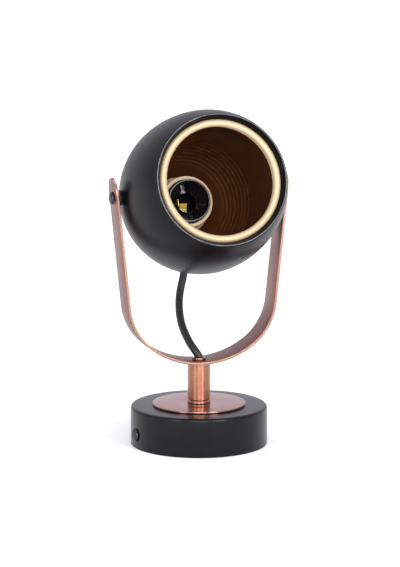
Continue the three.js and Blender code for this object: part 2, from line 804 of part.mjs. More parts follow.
function grommet() {
  const neckTop = turnedSeatGap;
  const neckEnd = neckTop - grommetNeckLength;
  const innerEnd = neckEnd - grommetInnerFlangeHeight;
  const profile = [
    [grommetBoreRadius, innerEnd],
    [grommetFlangeRadius, innerEnd],
    [grommetFlangeRadius, neckEnd],
    [grommetNeckRadius, neckEnd],
    [grommetNeckRadius, neckTop],
    [grommetFlangeRadius, neckTop],
    [grommetFlangeRadius, neckTop + grommetFlangeHeight],
    [grommetBoreRadius, neckTop + grommetFlangeHeight],
  ];
  return atCableExit(revolve(profile, boltSides));
}

const reflectorRadius = shadeRadius - shadeWall - reflectorSideGap - reflectorWall;
const reflectorRearLength = shadeRearLength - shadeWall - reflectorRearGap - reflectorWall;
const reflectorFrontLength = shadeFrontLength - shadeWall - reflectorFrontGap - reflectorWall;
const ribLastRadius = reflectorRadius - ribBandInset;
const ribFirstRadius = ribLastRadius - ribBandWidth;
const beadMiddleRadius = shadeLipRadius - turnedSeatGap - reflectorBeadRadius;
const beadMiddleAhead = shadeRimAhead - shadeLipDepth - reflectorBeadBehindLip;

function reflectorBody() {
  const widest = shadeWidestAhead;
  const outerRadius = reflectorRadius + reflectorWall;
  const outerRear = reflectorRearLength + reflectorWall;
  const outerFront = reflectorFrontLength + reflectorWall;
  const holeAngle = -Math.acos(reflectorHoleRadius / reflectorRadius);
  const outerHoleAngle = -Math.acos(reflectorHoleRadius / outerRadius);
  const frontAngle = Math.asin((beadMiddleAhead - widest) / reflectorFrontLength);
  const outerFrontAngle = Math.asin((beadMiddleAhead - widest) / outerFront);
  const firstRibAngle = -Math.acos(ribFirstRadius / reflectorRadius);
  const lastRibAngle = -Math.acos(ribLastRadius / reflectorRadius);
  const ribbed = ellipseArc(
    reflectorRadius,
    widest,
    reflectorRearLength,
    lastRibAngle,
    firstRibAngle,
    2 * ribCount,
  ).map(([radius, height], index) => [radius + (index % 2) * ribDepth, height]);
  const plain = (from, to, steps) =>
    ellipseArc(reflectorRadius, widest, reflectorRearLength, from, to, steps);
  const profile = [
    ...ellipseArc(outerRadius, widest, outerRear, outerHoleAngle, 0, reflectorRearSteps),
    ...ellipseArc(outerRadius, widest, outerFront, 0, outerFrontAngle, reflectorFrontSteps).slice(1),
    ...ellipseArc(reflectorRadius, widest, reflectorFrontLength, frontAngle, 0, reflectorFrontSteps),
    ...plain(0, lastRibAngle, reflectorFrontSteps).slice(1, -1),
    ...ribbed,
    ...plain(firstRibAngle, holeAngle, reflectorFrontSteps).slice(1),
  ];
  const bead = ellipseArc(
    reflectorBeadRadius,
    beadMiddleAhead,
    reflectorBeadRadius,
    -quarterTurn,
    halfTurn + quarterTurn,
    reflectorBeadSteps,
  ).slice(1).map(([radius, height]) => [radius + beadMiddleRadius, height]);
  return join(revolve(profile, bodySides), revolve(bead, bodySides));
}

const holderBack = shadeWidestAhead - shadeRearLength + shadeWall + holderStandOff;
const holderMouth = holderBack + holderLength;
const holderFloor = holderMouth - holderBoreDepth;
const collarFace = holderMouth - collarFaceStep;
const collarBase =
  shadeWidestAhead -
  reflectorRearLength * Math.sqrt(1 - (collarFlangeRadius / reflectorRadius) ** 2) +
  turnedSeatGap;

function holderCollar() {
  const hollow = collarRadius - collarWall;
  const profile = [
    [hollow, collarBase],
    [collarFlangeRadius, collarBase],
    [collarFlangeRadius, collarBase + collarWall],
    [collarRadius, collarBase + collarWall],
    [collarRadius, collarFace],
    [holderSkirtRadius + 2 * holeClearance, collarFace],
    [holderSkirtRadius + 2 * holeClearance, collarFace - collarWall],
    [hollow, collarFace - collarWall],
  ];
  return revolve(profile, tubeSides);
}

function lampholderBody() {
  const skirtEnd = holderMouth - holderSkirtLength;
  const funnelEnd = holderMouth - holderFunnelDepth;
  const mouthRadius = holderSkirtRadius - holderWall;
  const profile = [
    [0, holderBack],
    [holderBodyRadius, holderBack],
    [holderBodyRadius, skirtEnd],
    [holderSkirtRadius, skirtEnd],
    [holderSkirtRadius, holderMouth],
    [mouthRadius, holderMouth],
    [mouthRadius - holderWall / 2, holderMouth - holderFunnelDepth * holderFunnelBendShare],
    [holderBoreRadius, funnelEnd],
    [holderBoreRadius, holderFloor],
    [0, holderFloor],
  ];
  const slotReach = 2 * (mouthRadius - holderWall);
  const slot = block(holderSlotWidth, slotReach, holderFunnelDepth + holderSlotDepth);
  slot.rotateZ(holderSlotTurn).translate(0, 0, funnelEnd - holderSlotDepth);
  const screwHoles = [-1, 1].map((side) => {
    const length = holderScrewHoleDepth + cutOverrun;
    const hole = cylinder(holderScrewShankRadius + holeClearance, length, boltSides);
    return hole.translate(side * holderScrewPlace, 0, holderBack - cutOverrun);
  });
  return cut(revolve(profile, tubeSides), slot, ...screwHoles);
}

function centreContact() {
  const low = holderFloor + turnedSeatGap;
  const reach = rivetOffset + rivetRadius;
  const outline = [
    [-reach, low],
    [-rivetOffset + rivetRadius + contactThickness, low],
    [contactReach, low + contactRise],
    [contactReach, low + contactRise + contactThickness],
    [-rivetOffset + rivetRadius, low + contactThickness],
    [-reach, low + contactThickness],
  ];
  return prismAlongY(outline, contactWidth).rotateZ(quarterTurn);
}

function sideContact() {
  const place = Math.sqrt(holderBoreRadius ** 2 - (contactWidth / 2) ** 2) - turnedSeatGap;
  const strip = block(contactThickness, contactWidth, sideContactLength);
  return strip.translate(-place + contactThickness / 2, 0, holderFloor + turnedSeatGap);
}

function contactRivet() {
  const base = holderFloor + contactThickness + 2 * turnedSeatGap;
  return cylinder(rivetRadius, rivetHeight, boltSides).translate(0, -rivetOffset, base);
}

const bracketFace = holderBack - turnedSeatGap;
const bracketWebBack = bracketFace - holderBracketThickness;

function holderBracket() {
  const half = holderBracketLength / 2;
  const innerRear = shadeRearLength - shadeWall;
  const cornerRadius = Math.hypot(half, holderBracketWidth / 2);
  const rise = Math.sqrt(1 - (cornerRadius / (shadeRadius - shadeWall)) ** 2);
  const footHeight = shadeWidestAhead - innerRear * rise + turnedSeatGap;
  const inner = half - holderBracketThickness;
  const outline = [
    [half, bracketFace],
    [-half, bracketFace],
    [-half, footHeight],
    [-inner, footHeight],
    [-inner, bracketWebBack],
    [inner, bracketWebBack],
    [inner, footHeight],
    [half, footHeight],
  ];
  const hole = (radius, place) => {
    const tool = cylinder(radius + holeClearance, holderBracketThickness + 2 * cutOverrun, boltSides);
    return tool.translate(place, 0, bracketWebBack - cutOverrun);
  };
  const holes = [
    hole(rearScrewShankRadius, 0),
    hole(holderScrewShankRadius, -holderScrewPlace),
    hole(holderScrewShankRadius, holderScrewPlace),
  ];
  return cut(prismAlongY(outline, holderBracketWidth), ...holes);
}

function holderCores() {
  const fromExit = ([behind, below]) => [exitBehind + behind, exitBelow + below];
  const toHolder = ([behind, below]) => [behind - holderBack, below];
  const outerRadius = reflectorRadius + reflectorWall;
  const roundReflector = (radius) => {
    const back = (reflectorRearLength + reflectorWall) * Math.sqrt(1 - (radius / outerRadius) ** 2);
    return [back - shadeWidestAhead + coreOffReflector, radius];
  };
  const start = coreRouteFromExit.map(fromExit);
  const firstBendRadius = (start.at(-1)[1] + coreBendRadius) / 2;
  const route = [
    ...start,
    ...[firstBendRadius, coreBendRadius, coreTurnRadius].map(roundReflector),
    ...coreRouteToHolder.map(toHolder),
  ];
  return [[-1, 'holder_core_live', brownJacket()], [1, 'holder_core_neutral', blueJacket()]].map(
    ([side, name, jacket]) => {
      const points = route.map(([behind, below]) => [side * holderCorePlace, -below, -behind]);
      return [name, tubeAlong(points, coreRadius, holderCoreSteps, wireSides), jacket];
    },
  );
}

function addShade(root) {
  const shadeGroup = new THREE.Group();
  shadeGroup.position.z = pivotHeight;
  shadeGroup.rotation.x = quarterTurn - shadeTilt;
  root.add(shadeGroup);
  piece(shadeGroup, 'shade', shadeShell(), blackPaint());
  piece(shadeGroup, 'reflector', reflectorBody(), goldPaint());
  piece(shadeGroup, 'holder_collar', holderCollar(), goldPaint());
  piece(shadeGroup, 'lampholder', lampholderBody(), blackPlastic());
  piece(shadeGroup, 'centre_contact', centreContact(), brass());
  piece(shadeGroup, 'side_contact', sideContact(), brass());
  piece(shadeGroup, 'contact_rivet', contactRivet(), zincPlate());
  piece(shadeGroup, 'holder_bracket', holderBracket(), zincPlate());
  piece(shadeGroup, 'cable_grommet', grommet(), blackRubber());
  for (const [side, name] of [[-1, 'left'], [1, 'right']]) {
    const washer = tube(pivotWasherRadius, pivotShankRadius + holeClearance, pivotWasherThickness, boltSides);
    washer.rotateY(quarterTurn).translate(pivotWasherPlace, 0, 0);
    piece(shadeGroup, `pivot_washer_${name}`, mirroredToSide(washer, side), zincPlate());
    const nut = hexNut(pivotNutAcrossFlats, pivotNutHeight, pivotShankRadius + holeClearance);
    nut.rotateY(quarterTurn).translate(pivotNutPlace, 0, 0);
    piece(shadeGroup, `pivot_nut_${name}`, mirroredToSide(nut, side), zincPlate());
    const screw = panScrew(
      holderScrewHeadRadius,
      holderScrewHeadHeight,
      holderScrewShankRadius,
      holderScrewLength,
    );
    screw.rotateX(halfTurn).translate(side * holderScrewPlace, 0, bracketWebBack - turnedSeatGap);
    piece(shadeGroup, `holder_screw_${name}`, screw, zincPlate());
  }
  const rearFace = shadeWidestAhead - shadeRearLength - turnedSeatGap;
  const rearScrewLength = bracketFace - rearScrewTail - rearFace;
  const rearScrew = panScrew(rearScrewHeadRadius, rearScrewHeadHeight, rearScrewShankRadius, rearScrewLength);
  piece(shadeGroup, 'rear_screw', rearScrew.rotateX(halfTurn).translate(0, 0, rearFace), blackPaint());
  for (const [name, geometry, jacket] of holderCores()) piece(shadeGroup, name, geometry, jacket);
}

function addCable(root) {
  const cable = tubeAlong(cableRoute, cableRadius, cableSteps, wireSides + wireSides / 2);
  piece(root, 'cable', cable, blackRubber());
}

const wallLight = new THREE.Group();
addCanopy(wallLight);
addStem(wallLight);
addStrap(wallLight);
addShade(wallLight);
addCable(wallLight);

export default wallLight;
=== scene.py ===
"""Looks of a wall light: a round canopy, a short copper stem, a copper strap and a tilting shade.

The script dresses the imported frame. Each sub-assembly is a class that models its pieces in
millimetres and sets them on the frame's bodies in metres.
"""

import logging
import math
from dataclasses import dataclass
from enum import Enum
from typing import Callable, ClassVar, Sequence

import bmesh
import bpy
from mathutils import Matrix, Vector


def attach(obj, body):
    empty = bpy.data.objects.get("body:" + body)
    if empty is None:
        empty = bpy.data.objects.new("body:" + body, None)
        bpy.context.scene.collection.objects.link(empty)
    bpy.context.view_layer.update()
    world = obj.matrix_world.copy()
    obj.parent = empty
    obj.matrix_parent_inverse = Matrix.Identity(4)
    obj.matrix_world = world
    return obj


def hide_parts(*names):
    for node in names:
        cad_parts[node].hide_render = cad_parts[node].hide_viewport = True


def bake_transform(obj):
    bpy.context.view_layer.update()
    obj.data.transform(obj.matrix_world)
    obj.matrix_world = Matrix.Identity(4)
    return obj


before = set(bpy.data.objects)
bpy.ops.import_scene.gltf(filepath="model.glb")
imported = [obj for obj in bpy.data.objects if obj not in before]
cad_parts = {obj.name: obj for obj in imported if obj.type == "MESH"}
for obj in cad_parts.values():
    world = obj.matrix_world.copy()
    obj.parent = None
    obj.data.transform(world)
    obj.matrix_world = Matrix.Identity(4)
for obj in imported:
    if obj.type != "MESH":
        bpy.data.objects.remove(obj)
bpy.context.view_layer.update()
log = logging.getLogger("wall_light")

Pair = tuple[float, float]
Profile = list[Pair]
Point = tuple[float, float, float]
Colour = tuple[float, float, float]
Piece = bpy.types.Object
Socket = bpy.types.NodeSocket
Sockets = dict[str, Socket]
FaceTest = Callable[[Vector, Vector], bool]

MM = 0.001
FULL_TURN = 2 * math.pi
HALF_TURN = math.pi
QUARTER_TURN = math.pi / 2
MERGE_DISTANCE = 0.002 * MM
TOUCHING = 0.0002 * MM
NEARLY_WHOLE = 0.999
SMOOTH_ANGLE = math.radians(32)
CUT_OVERRUN = 3.0
CLEARANCE = 0.35
CORE_RADIUS = 1.0
HERE = Matrix.Identity(4)
LYING = Matrix.Rotation(QUARTER_TURN, 4, "Y")
BACKWARDS = Matrix.Rotation(HALF_TURN, 4, "X")
PIVOT_HEIGHT = 184.0
SHADE_TILT = math.radians(18.2)
PIVOT_PLACE = Matrix.Translation((0, 0, PIVOT_HEIGHT * MM))
SHADE_PLACE = PIVOT_PLACE @ Matrix.Rotation(QUARTER_TURN - SHADE_TILT, 4, "X")
CANOPY_PLACE = Matrix.Rotation(math.radians(7), 4, "Z")


class Body(Enum):
    """The three bodies of the light that move against each other."""

    BASE = "base"
    BRACKET = "bracket"
    SHADE = "shade"


class Lines(Enum):
    """Which way the fine tool lines run on a metal piece."""

    TURNED = "turned"
    BRUSHED = "brushed"


def tone(red: int, green: int, blue: int) -> Colour:
    """Turns a colour as a screen shows it into the one that the shader takes.

    Args:
        red: The red part, from 0 to 255.
        green: The green part, from 0 to 255.
        blue: The blue part, from 0 to 255.

    Returns:
        The colour's three linear parts.
    """
    foot, slope, lift, power = 0.04045, 12.92, 0.055, 2.4
    parts = [part / 255 for part in (red, green, blue)]
    return tuple(p / slope if p <= foot else ((p + lift) / (1 + lift)) ** power for p in parts)


# Outlines


def arc(middle: Pair, radius: float, start: float, end: float, steps: int) -> Profile:
    """Lays points on a circle's arc, from one angle to another in degrees, and returns them."""
    return ellipse(radius, middle[1], radius, start, end, steps, middle[0])


def ellipse(
    radius: float, centre: float, reach: float, start: float, end: float, steps: int, out: float = 0.0
) -> Profile:
    """Lays points on an ellipse's arc in the plane of radius and height.

    Args:
        radius: Half the ellipse's width.
        centre: The height of its middle.
        reach: Half its height.
        start: The first angle in degrees, from the outward direction.
        end: The last angle in degrees.
        steps: How many steps the arc takes.
        out: How far out its middle lies.

    Returns:
        The arc's points.
    """
    points = []
    for step in range(steps + 1):
        angle = math.radians(start + (end - start) * step / steps)
        points.append((out + radius * math.cos(angle), centre + reach * math.sin(angle)))
    return points


def eased(profile: Profile, ease: float, closed: bool = True) -> Profile:
    """Rounds the sharp corners of an outline.

    Args:
        profile: The outline's corners.
        ease: How far from each corner the rounding starts.
        closed: Whether the outline closes on itself.

    Returns:
        The outline with rounded corners.
    """
    sharp_turn, longest_share, steps = math.radians(20), 0.45, 4
    corners = [Vector(point) for point in profile]
    made: list[Vector] = []
    for index, corner in enumerate(corners):
        at_end = index in (0, len(corners) - 1)
        before, after = corners[index - 1], corners[(index + 1) % len(corners)]
        arriving, leaving = corner - before, after - corner
        if (at_end and not closed) or arriving.angle(leaving, 0.0) < sharp_turn:
            made.append(corner)
            continue
        first = corner - arriving.normalized() * min(ease, longest_share * arriving.length)
        last = corner + leaving.normalized() * min(ease, longest_share * leaving.length)
        for step in range(steps + 1):
            share = step / steps
            made.append((1 - share) ** 2 * first + 2 * share * (1 - share) * corner + share**2 * last)
    return [tuple(point) for point in made]


def smooth_route(points: Sequence[Point], steps: int) -> list[Vector]:
    """Draws a smooth line through points.

    Args:
        points: The points in millimetres.
        steps: How many steps each span takes.

    Returns:
        The line's points in metres, the first and last of them included.
    """
    line = [Vector(point) for point in points]
    ends = [line[0] * 2 - line[1], *line, line[-1] * 2 - line[-2]]
    made = []
    for before, first, last, after in zip(ends, ends[1:], ends[2:], ends[3:]):
        for step in range(steps):
            t = step / steps
            bend = (2 * before - 5 * first + 4 * last - after) * t**2
            twist = (3 * first - before - 3 * last + after) * t**3
            made.append((2 * first + (last - before) * t + bend + twist) / 2)
    return [point * MM for point in (*made, line[-1])]


# Modelling


def at(x: float, y: float, z: float) -> Matrix:
    """Returns the place of a point that is given in millimetres."""
    return Matrix.Translation(Vector((x, y, z)) * MM)


def clear_bench() -> None:
    """Leaves nothing selected, in object mode."""
    if bpy.context.object and bpy.context.object.mode != "OBJECT":
        bpy.ops.object.mode_set(mode="OBJECT")
    bpy.ops.object.select_all(action="DESELECT")


def take_up(piece: Piece) -> None:
    """Leaves only one piece selected, active and in object mode.

    Args:
        piece: The piece.
    """
    clear_bench()
    piece.select_set(True)
    bpy.context.view_layer.objects.active = piece


def open_mesh(piece: Piece) -> None:
    """Takes a piece up in edit mode with all of it selected.

    Args:
        piece: The piece.
    """
    take_up(piece)
    bpy.ops.object.mode_set(mode="EDIT")
    bpy.ops.mesh.select_mode(type="VERT")
    bpy.ops.mesh.select_all(action="SELECT")


def close_mesh(outwards: bool = True) -> None:
    """Merges doubles, turns the faces outwards if asked, and leaves edit mode.

    Args:
        outwards: Whether the normals are worked out again.
    """
    bpy.ops.mesh.select_all(action="SELECT")
    bpy.ops.mesh.remove_doubles(threshold=MERGE_DISTANCE)
    if outwards:
        bpy.ops.mesh.normals_make_consistent(inside=False)
    bpy.ops.object.mode_set(mode="OBJECT")


def place(piece: Piece, placing: Matrix) -> Piece:
    """Moves a piece and puts its place into its mesh.

    Args:
        piece: The piece, drawn about the origin.
        placing: Where it goes, in metres.

    Returns:
        The same piece.
    """
    take_up(piece)
    piece.matrix_world = placing
    bpy.ops.object.transform_apply(location=True, rotation=True, scale=True)
    return piece


def draw_line(name: str, points: Sequence[Point]) -> Piece:
    """Draws a line of edges by extruding one point after another.

    Args:
        name: The new piece's name.
        points: The line's points in millimetres.

    Returns:
        The piece, left open in edit mode with all of it selected.
    """
    clear_bench()
    bpy.ops.mesh.primitive_plane_add(size=MM)
    piece = bpy.context.object
    piece.name = name
    open_mesh(piece)
    bpy.ops.mesh.merge(type="CENTER")
    bpy.ops.transform.translate(value=Vector(points[0]) * MM)
    for before, after in zip(points, points[1:]):
        stride = (Vector(after) - Vector(before)) * MM
        bpy.ops.mesh.extrude_region_move(TRANSFORM_OT_translate={"value": stride})
    bpy.ops.mesh.select_all(action="SELECT")
    return piece


def turn(name: str, profile: Profile, sides: int, closed: bool = True) -> Piece:
    """Turns an outline about the Z axis into a closed piece.

    Args:
        name: The new piece's name.
        profile: Pairs of radius and height in millimetres.
        sides: How many steps the turn takes.
        closed: Whether the outline runs back to its first point; otherwise it ends on the axis.

    Returns:
        The turned piece.
    """
    points = [(radius, 0.0, height) for radius, height in profile]
    piece = draw_line(name, [*points, points[0]] if closed else points)
    bpy.ops.mesh.remove_doubles(threshold=MERGE_DISTANCE)
    bpy.ops.mesh.select_all(action="SELECT")
    bpy.ops.mesh.spin(steps=sides, angle=FULL_TURN, center=(0, 0, 0), axis=(0, 0, 1))
    close_mesh()
    return piece


def drill(radius: float, start: float, end: float, placing: Matrix = HERE, sides: int = 32) -> Piece:
    """Makes a plain round rod to cut with.

    Args:
        radius: Its radius in millimetres.
        start: Where it starts on its axis.
        end: Where it ends.
        placing: Where it goes from the Z axis.
        sides: How many sides it has.

    Returns:
        The rod in its place.
    """
    corners = [(0.0, start), (radius, start), (radius, end), (0.0, end)]
    return place(turn("drill_tool", corners, sides, closed=False), placing)


def slab(name: str, lengths: Point, middle: Point) -> Piece:
    """Makes a rectangular block.

    Args:
        name: Its name.
        lengths: Its lengths along X, Y and Z in millimetres.
        middle: Its middle in millimetres.

    Returns:
        The block.
    """
    clear_bench()
    bpy.ops.mesh.primitive_cube_add(size=1)
    piece = bpy.context.object
    piece.name = name
    return place(piece, at(*middle) @ Matrix.Diagonal((*(Vector(lengths) * MM), 1)))


def apply_modifier(piece: Piece, kind: str, **settings: object) -> None:
    """Gives a piece a modifier and applies it.

    Args:
        piece: The piece.
        kind: The modifier's type.
        **settings: The modifier's values by name.
    """
    take_up(piece)
    bpy.ops.object.modifier_add(type=kind)
    modifier = piece.modifiers[-1]
    for name, value in settings.items():
        setattr(modifier, name, value)
    bpy.ops.object.modifier_apply(modifier=modifier.name)


def cut(piece: Piece, *tools: Piece) -> None:
    """Cuts tools out of a piece, removes them and merges the points that touch.

    Args:
        piece: The piece.
        *tools: The closed meshes to take away.
    """
    for tool in tools:
        apply_modifier(piece, "BOOLEAN", operation="DIFFERENCE", solver="EXACT", object=tool)
        bpy.data.objects.remove(tool, do_unlink=True)
    open_mesh(piece)
    bpy.ops.mesh.remove_doubles(threshold=TOUCHING)
    clear_bench()


def soften(piece: Piece, width: float, segments: int = 2, sharpest: float = 35.0) -> None:
    """Bevels a piece's sharp edges.

    Args:
        piece: The piece.
        width: The bevel's width in millimetres.
        segments: How many steps it has.
        sharpest: The angle in degrees above which an edge is bevelled.
    """
    settings = {"width": width * MM, "segments": segments, "limit_method": "ANGLE"}
    apply_modifier(piece, "BEVEL", angle_limit=math.radians(sharpest), use_clamp_overlap=True, **settings)


def soften_chosen(
    piece: Piece, chosen: Callable[[object], bool], radius: float, segments: int, affect: str
) -> None:
    """Bevels chosen edges or points of a piece into round corners.

    Args:
        piece: The piece.
        chosen: Says of an edge or point whether it is one of them.
        radius: The rounding's radius in millimetres.
        segments: How many steps it has.
        affect: EDGES or VERTICES.
    """
    open_mesh(piece)
    if affect == "EDGES":
        bpy.ops.mesh.select_mode(type="EDGE")
    bpy.ops.mesh.select_all(action="DESELECT")
    shape = bmesh.from_edit_mesh(piece.data)
    for part in shape.edges if affect == "EDGES" else shape.verts:
        part.select_set(chosen(part))
    bmesh.update_edit_mesh(piece.data)
    bpy.ops.mesh.bevel(offset=radius * MM * NEARLY_WHOLE, segments=segments, affect=affect)
    close_mesh(outwards=affect == "EDGES")


def is_upright(edge: bmesh.types.BMEdge) -> bool:
    """Tells whether an edge runs straight up."""
    rise = edge.verts[0].co - edge.verts[1].co
    return abs(rise.x) < MERGE_DISTANCE and abs(rise.y) < MERGE_DISTANCE


def draw_strip(name: str, line: Profile, width: float) -> Piece:
    """Draws a line in the X and Z plane and widens it along Y into an open strip.

    Args:
        name: The strip's name.
        line: The line in millimetres.
        width: The strip's width.

    Returns:
        The strip.
    """
    strip = draw_line(name, [(out, -width / 2, up) for out, up in line])
    stride = Vector((0, width, 0)) * MM
    bpy.ops.mesh.extrude_region_move(TRANSFORM_OT_translate={"value": stride})
    close_mesh(outwards=False)
    return strip


def thicken(strip: Piece, thickness: float, sense: int = -1) -> None:
    """Turns an open strip's faces and thickens it on the side that they look away from.

    Args:
        strip: The strip.
        thickness: Its thickness in millimetres.
        sense: -1 if the lowest face looks down, 1 if the highest looks up.
    """
    farthest = max(strip.data.polygons, key=lambda face: sense * face.center.z)
    if sense * farthest.normal.z < 0:
        open_mesh(strip)
        bpy.ops.mesh.flip_normals()
        clear_bench()
    apply_modifier(strip, "SOLIDIFY", thickness=thickness * MM, offset=-1.0, use_even_offset=True)


def draw_tube(name: str, points: Sequence[Vector], radius: float, roundness: int = 4) -> Piece:
    """Draws a round tube with closed ends along a line.

    Args:
        name: The tube's name.
        points: The line's points in metres.
        radius: The tube's radius in millimetres.
        roundness: How fine its section is.

    Returns:
        The tube as a mesh.
    """
    clear_bench()
    curve = bpy.data.curves.new(name, "CURVE")
    curve.dimensions = "3D"
    curve.bevel_depth = radius * MM
    curve.bevel_resolution = roundness
    curve.use_fill_caps = True
    spline = curve.splines.new("POLY")
    spline.points.add(len(points) - 1)
    for spot, point in zip(spline.points, points):
        spot.co = (*point, 1)
    piece = bpy.data.objects.new(name, curve)
    bpy.context.scene.collection.objects.link(piece)
    take_up(piece)
    bpy.ops.object.convert(target="MESH")
    piece = bpy.context.object
    open_mesh(piece)
    close_mesh()
    return piece


# Shader nodes


class Graph:
    """A node tree that is being drawn."""

    def __init__(self, tree: bpy.types.NodeTree) -> None:
        """Clears the tree and keeps it."""
        self.tree = tree
        self.tree.nodes.clear()

    def add(self, kind: str, inputs: dict | None = None, **settings: object) -> bpy.types.Node:
        """Adds a node.

        Args:
            kind: The node's type.
            inputs: Values or output sockets by the input's name or number.
            **settings: The node's own settings by name.

        Returns:
            The new node.
        """
        node = self.tree.nodes.new(kind)
        for name, value in settings.items():
            setattr(node, name, value)
        for name, value in (inputs or {}).items():
            socket = node.inputs[name]
            if isinstance(value, Socket):
                self.tree.links.new(value, socket)
            else:
                socket.default_value = (*value, 1) if socket.type == "RGBA" else value
        return node

    def use(self, group: bpy.types.NodeTree, inputs: dict) -> bpy.types.Node:
        """Adds a shared group with its inputs and returns it."""
        return self.add("ShaderNodeGroup", inputs, node_tree=group)

    def spot(self) -> Socket:
        """Returns the piece's own coordinates."""
        return self.add("ShaderNodeTexCoord").outputs["Object"]

    def noise(self, vector: Socket, scale: Socket | float, detail: float, roughness: float = 0.5) -> Socket:
        """Adds noise.

        Args:
            vector: Where it is read.
            scale: Its scale.
            detail: How many layers it has.
            roughness: How strong the finer layers are.

        Returns:
            The noise, from 0 to 1.
        """
        inputs = {"Vector": vector, "Scale": scale, "Detail": detail, "Roughness": roughness}
        return self.add("ShaderNodeTexNoise", inputs).outputs["Fac"]

    def bump(self, height: Socket, strength: Socket, distance: float) -> Socket:
        """Turns a height into a normal and returns it."""
        inputs = {"Strength": strength, "Distance": distance, "Height": height}
        return self.add("ShaderNodeBump", inputs).outputs["Normal"]

    def ramp(self, value: Socket, low: float, high: float) -> Socket:
        """Spreads a value from low to high over 0 to 1 and returns it clamped."""
        inputs = {"Value": value, "From Min": low, "From Max": high}
        return self.add("ShaderNodeMapRange", inputs, clamp=True).outputs["Result"]

    def mix(self, share: Socket, first: Socket | Colour, second: Socket | Colour) -> Socket:
        """Mixes a share of the second colour into the first and returns the mixture."""
        node = self.add("ShaderNodeMix", {0: share, 6: first, 7: second}, data_type="RGBA")
        return node.outputs[2]

    def reckon(self, operation: str, first: Socket | float, second: Socket | float = 0.5) -> Socket:
        """Works out one step of arithmetic and returns its result."""
        return self.add("ShaderNodeMath", {0: first, 1: second}, operation=operation).outputs[0]

    def plus(self, first: Socket | float, second: Socket | float) -> Socket:
        """Adds two values."""
        return self.reckon("ADD", first, second)

    def times(self, first: Socket | float, second: Socket | float) -> Socket:
        """Multiplies two values."""
        return self.reckon("MULTIPLY", first, second)

    def surface(self, inputs: dict) -> None:
        """Ends a material with a Principled shader that has these inputs."""
        shader = self.add("ShaderNodeBsdfPrincipled", inputs)
        self.add("ShaderNodeOutputMaterial", {"Surface": shader.outputs["BSDF"]})


FLOAT, VECTOR = "NodeSocketFloat", "NodeSocketVector"


def make_group(
    name: str, inputs: dict[str, str], outputs: dict[str, str], draw: Callable[[Graph, Sockets], Sockets]
) -> bpy.types.NodeTree:
    """Makes a shared group of shader nodes.

    Args:
        name: The group's name.
        inputs: Socket types by name.
        outputs: Socket types by name.
        draw: Draws the nodes from the group's inputs and returns its outputs by name.

    Returns:
        The group.
    """
    tree = bpy.data.node_groups.new(name, "ShaderNodeTree")
    for in_out, sockets in (("INPUT", inputs), ("OUTPUT", outputs)):
        for label, kind in sockets.items():
            tree.interface.new_socket(label, in_out=in_out, socket_type=kind)
    graph = Graph(tree)
    graph.add("NodeGroupOutput", draw(graph, graph.add("NodeGroupInput").outputs))
    return tree


def draw_grain(graph: Graph, given: Sockets) -> Sockets:
    """Draws fine grain with cloudy variation: two sizes of noise on the piece's own coordinates.

    Args:
        graph: The group's graph.
        given: The group's inputs.

    Returns:
        The group's outputs.
    """
    cloud_scale, grain_distance = 38.0, 0.0004
    spot = graph.spot()
    fine = graph.noise(spot, given["Fineness"], detail=3.0, roughness=0.55)
    cloud = graph.noise(spot, cloud_scale, detail=4.0, roughness=0.6)
    normal = graph.bump(fine, given["Depth"], grain_distance)
    return {"Cloud": graph.ramp(cloud, 0.32, 0.68), "Normal": normal}


def draw_worn_and_highlit_edges(graph: Graph, given: Sockets) -> Sockets:
    """Draws a mask of rubbed edges from the surface's sharpness, broken up by noise; on the liner's ribs
    and the shade's rim it carries a painted highlight.

    Args:
        graph: The group's graph.
        given: The group's inputs.

    Returns:
        The group's outputs.
    """
    rubbed_scale = 260.0
    sharp = graph.add("ShaderNodeNewGeometry").outputs["Pointiness"]
    rubbed = graph.noise(graph.spot(), rubbed_scale, detail=3.0)
    broken = graph.times(graph.ramp(sharp, 0.505, 0.56), graph.ramp(rubbed, 0.3, 0.6))
    return {"Mask": graph.times(broken, given["Amount"])}


def draw_dust(graph: Graph, given: Sockets) -> Sockets:
    """Draws a mask of thin dust that lies on faces that look up, in loose patches.

    Args:
        graph: The group's graph.
        given: The group's inputs.

    Returns:
        The group's outputs.
    """
    speck_scale = 420.0
    around = graph.add("ShaderNodeTexCoord").outputs
    upward = graph.add("ShaderNodeSeparateXYZ", {"Vector": around["Normal"]}).outputs["Z"]
    specks = graph.noise(around["Object"], speck_scale, detail=5.0, roughness=0.7)
    lying = graph.times(graph.ramp(upward, 0.5, 1.0), graph.ramp(specks, 0.45, 0.75))
    return {"Mask": graph.times(lying, given["Amount"])}


def draw_tool_lines(graph: Graph, given: Sockets) -> Sockets:
    """Draws fine tool lines: stretched noise on a vector that the material prepares.

    Args:
        graph: The group's graph.
        given: The group's inputs.

    Returns:
        The group's outputs.
    """
    line_distance = 0.0001
    fine = graph.noise(given["Vector"], 1.0, detail=3.0, roughness=0.7)
    return {"Lines": graph.ramp(fine, 0.3, 0.7), "Normal": graph.bump(fine, given["Depth"], line_distance)}


class SharedEffects:
    """The node groups that the finishes share."""

    def __init__(self) -> None:
        """Makes each group once."""
        mask = {"Mask": FLOAT}
        grained = {"Cloud": FLOAT, "Normal": VECTOR}
        lined = {"Lines": FLOAT, "Normal": VECTOR}
        self.grain = make_group("fine_grain", {"Fineness": FLOAT, "Depth": FLOAT}, grained, draw_grain)
        self.edges = make_group("worn_and_highlit_edges", {"Amount": FLOAT}, mask, draw_worn_and_highlit_edges)
        self.dust = make_group("settled_dust", {"Amount": FLOAT}, mask, draw_dust)
        self.lines = make_group("tool_lines", {"Vector": VECTOR, "Depth": FLOAT}, lined, draw_tool_lines)


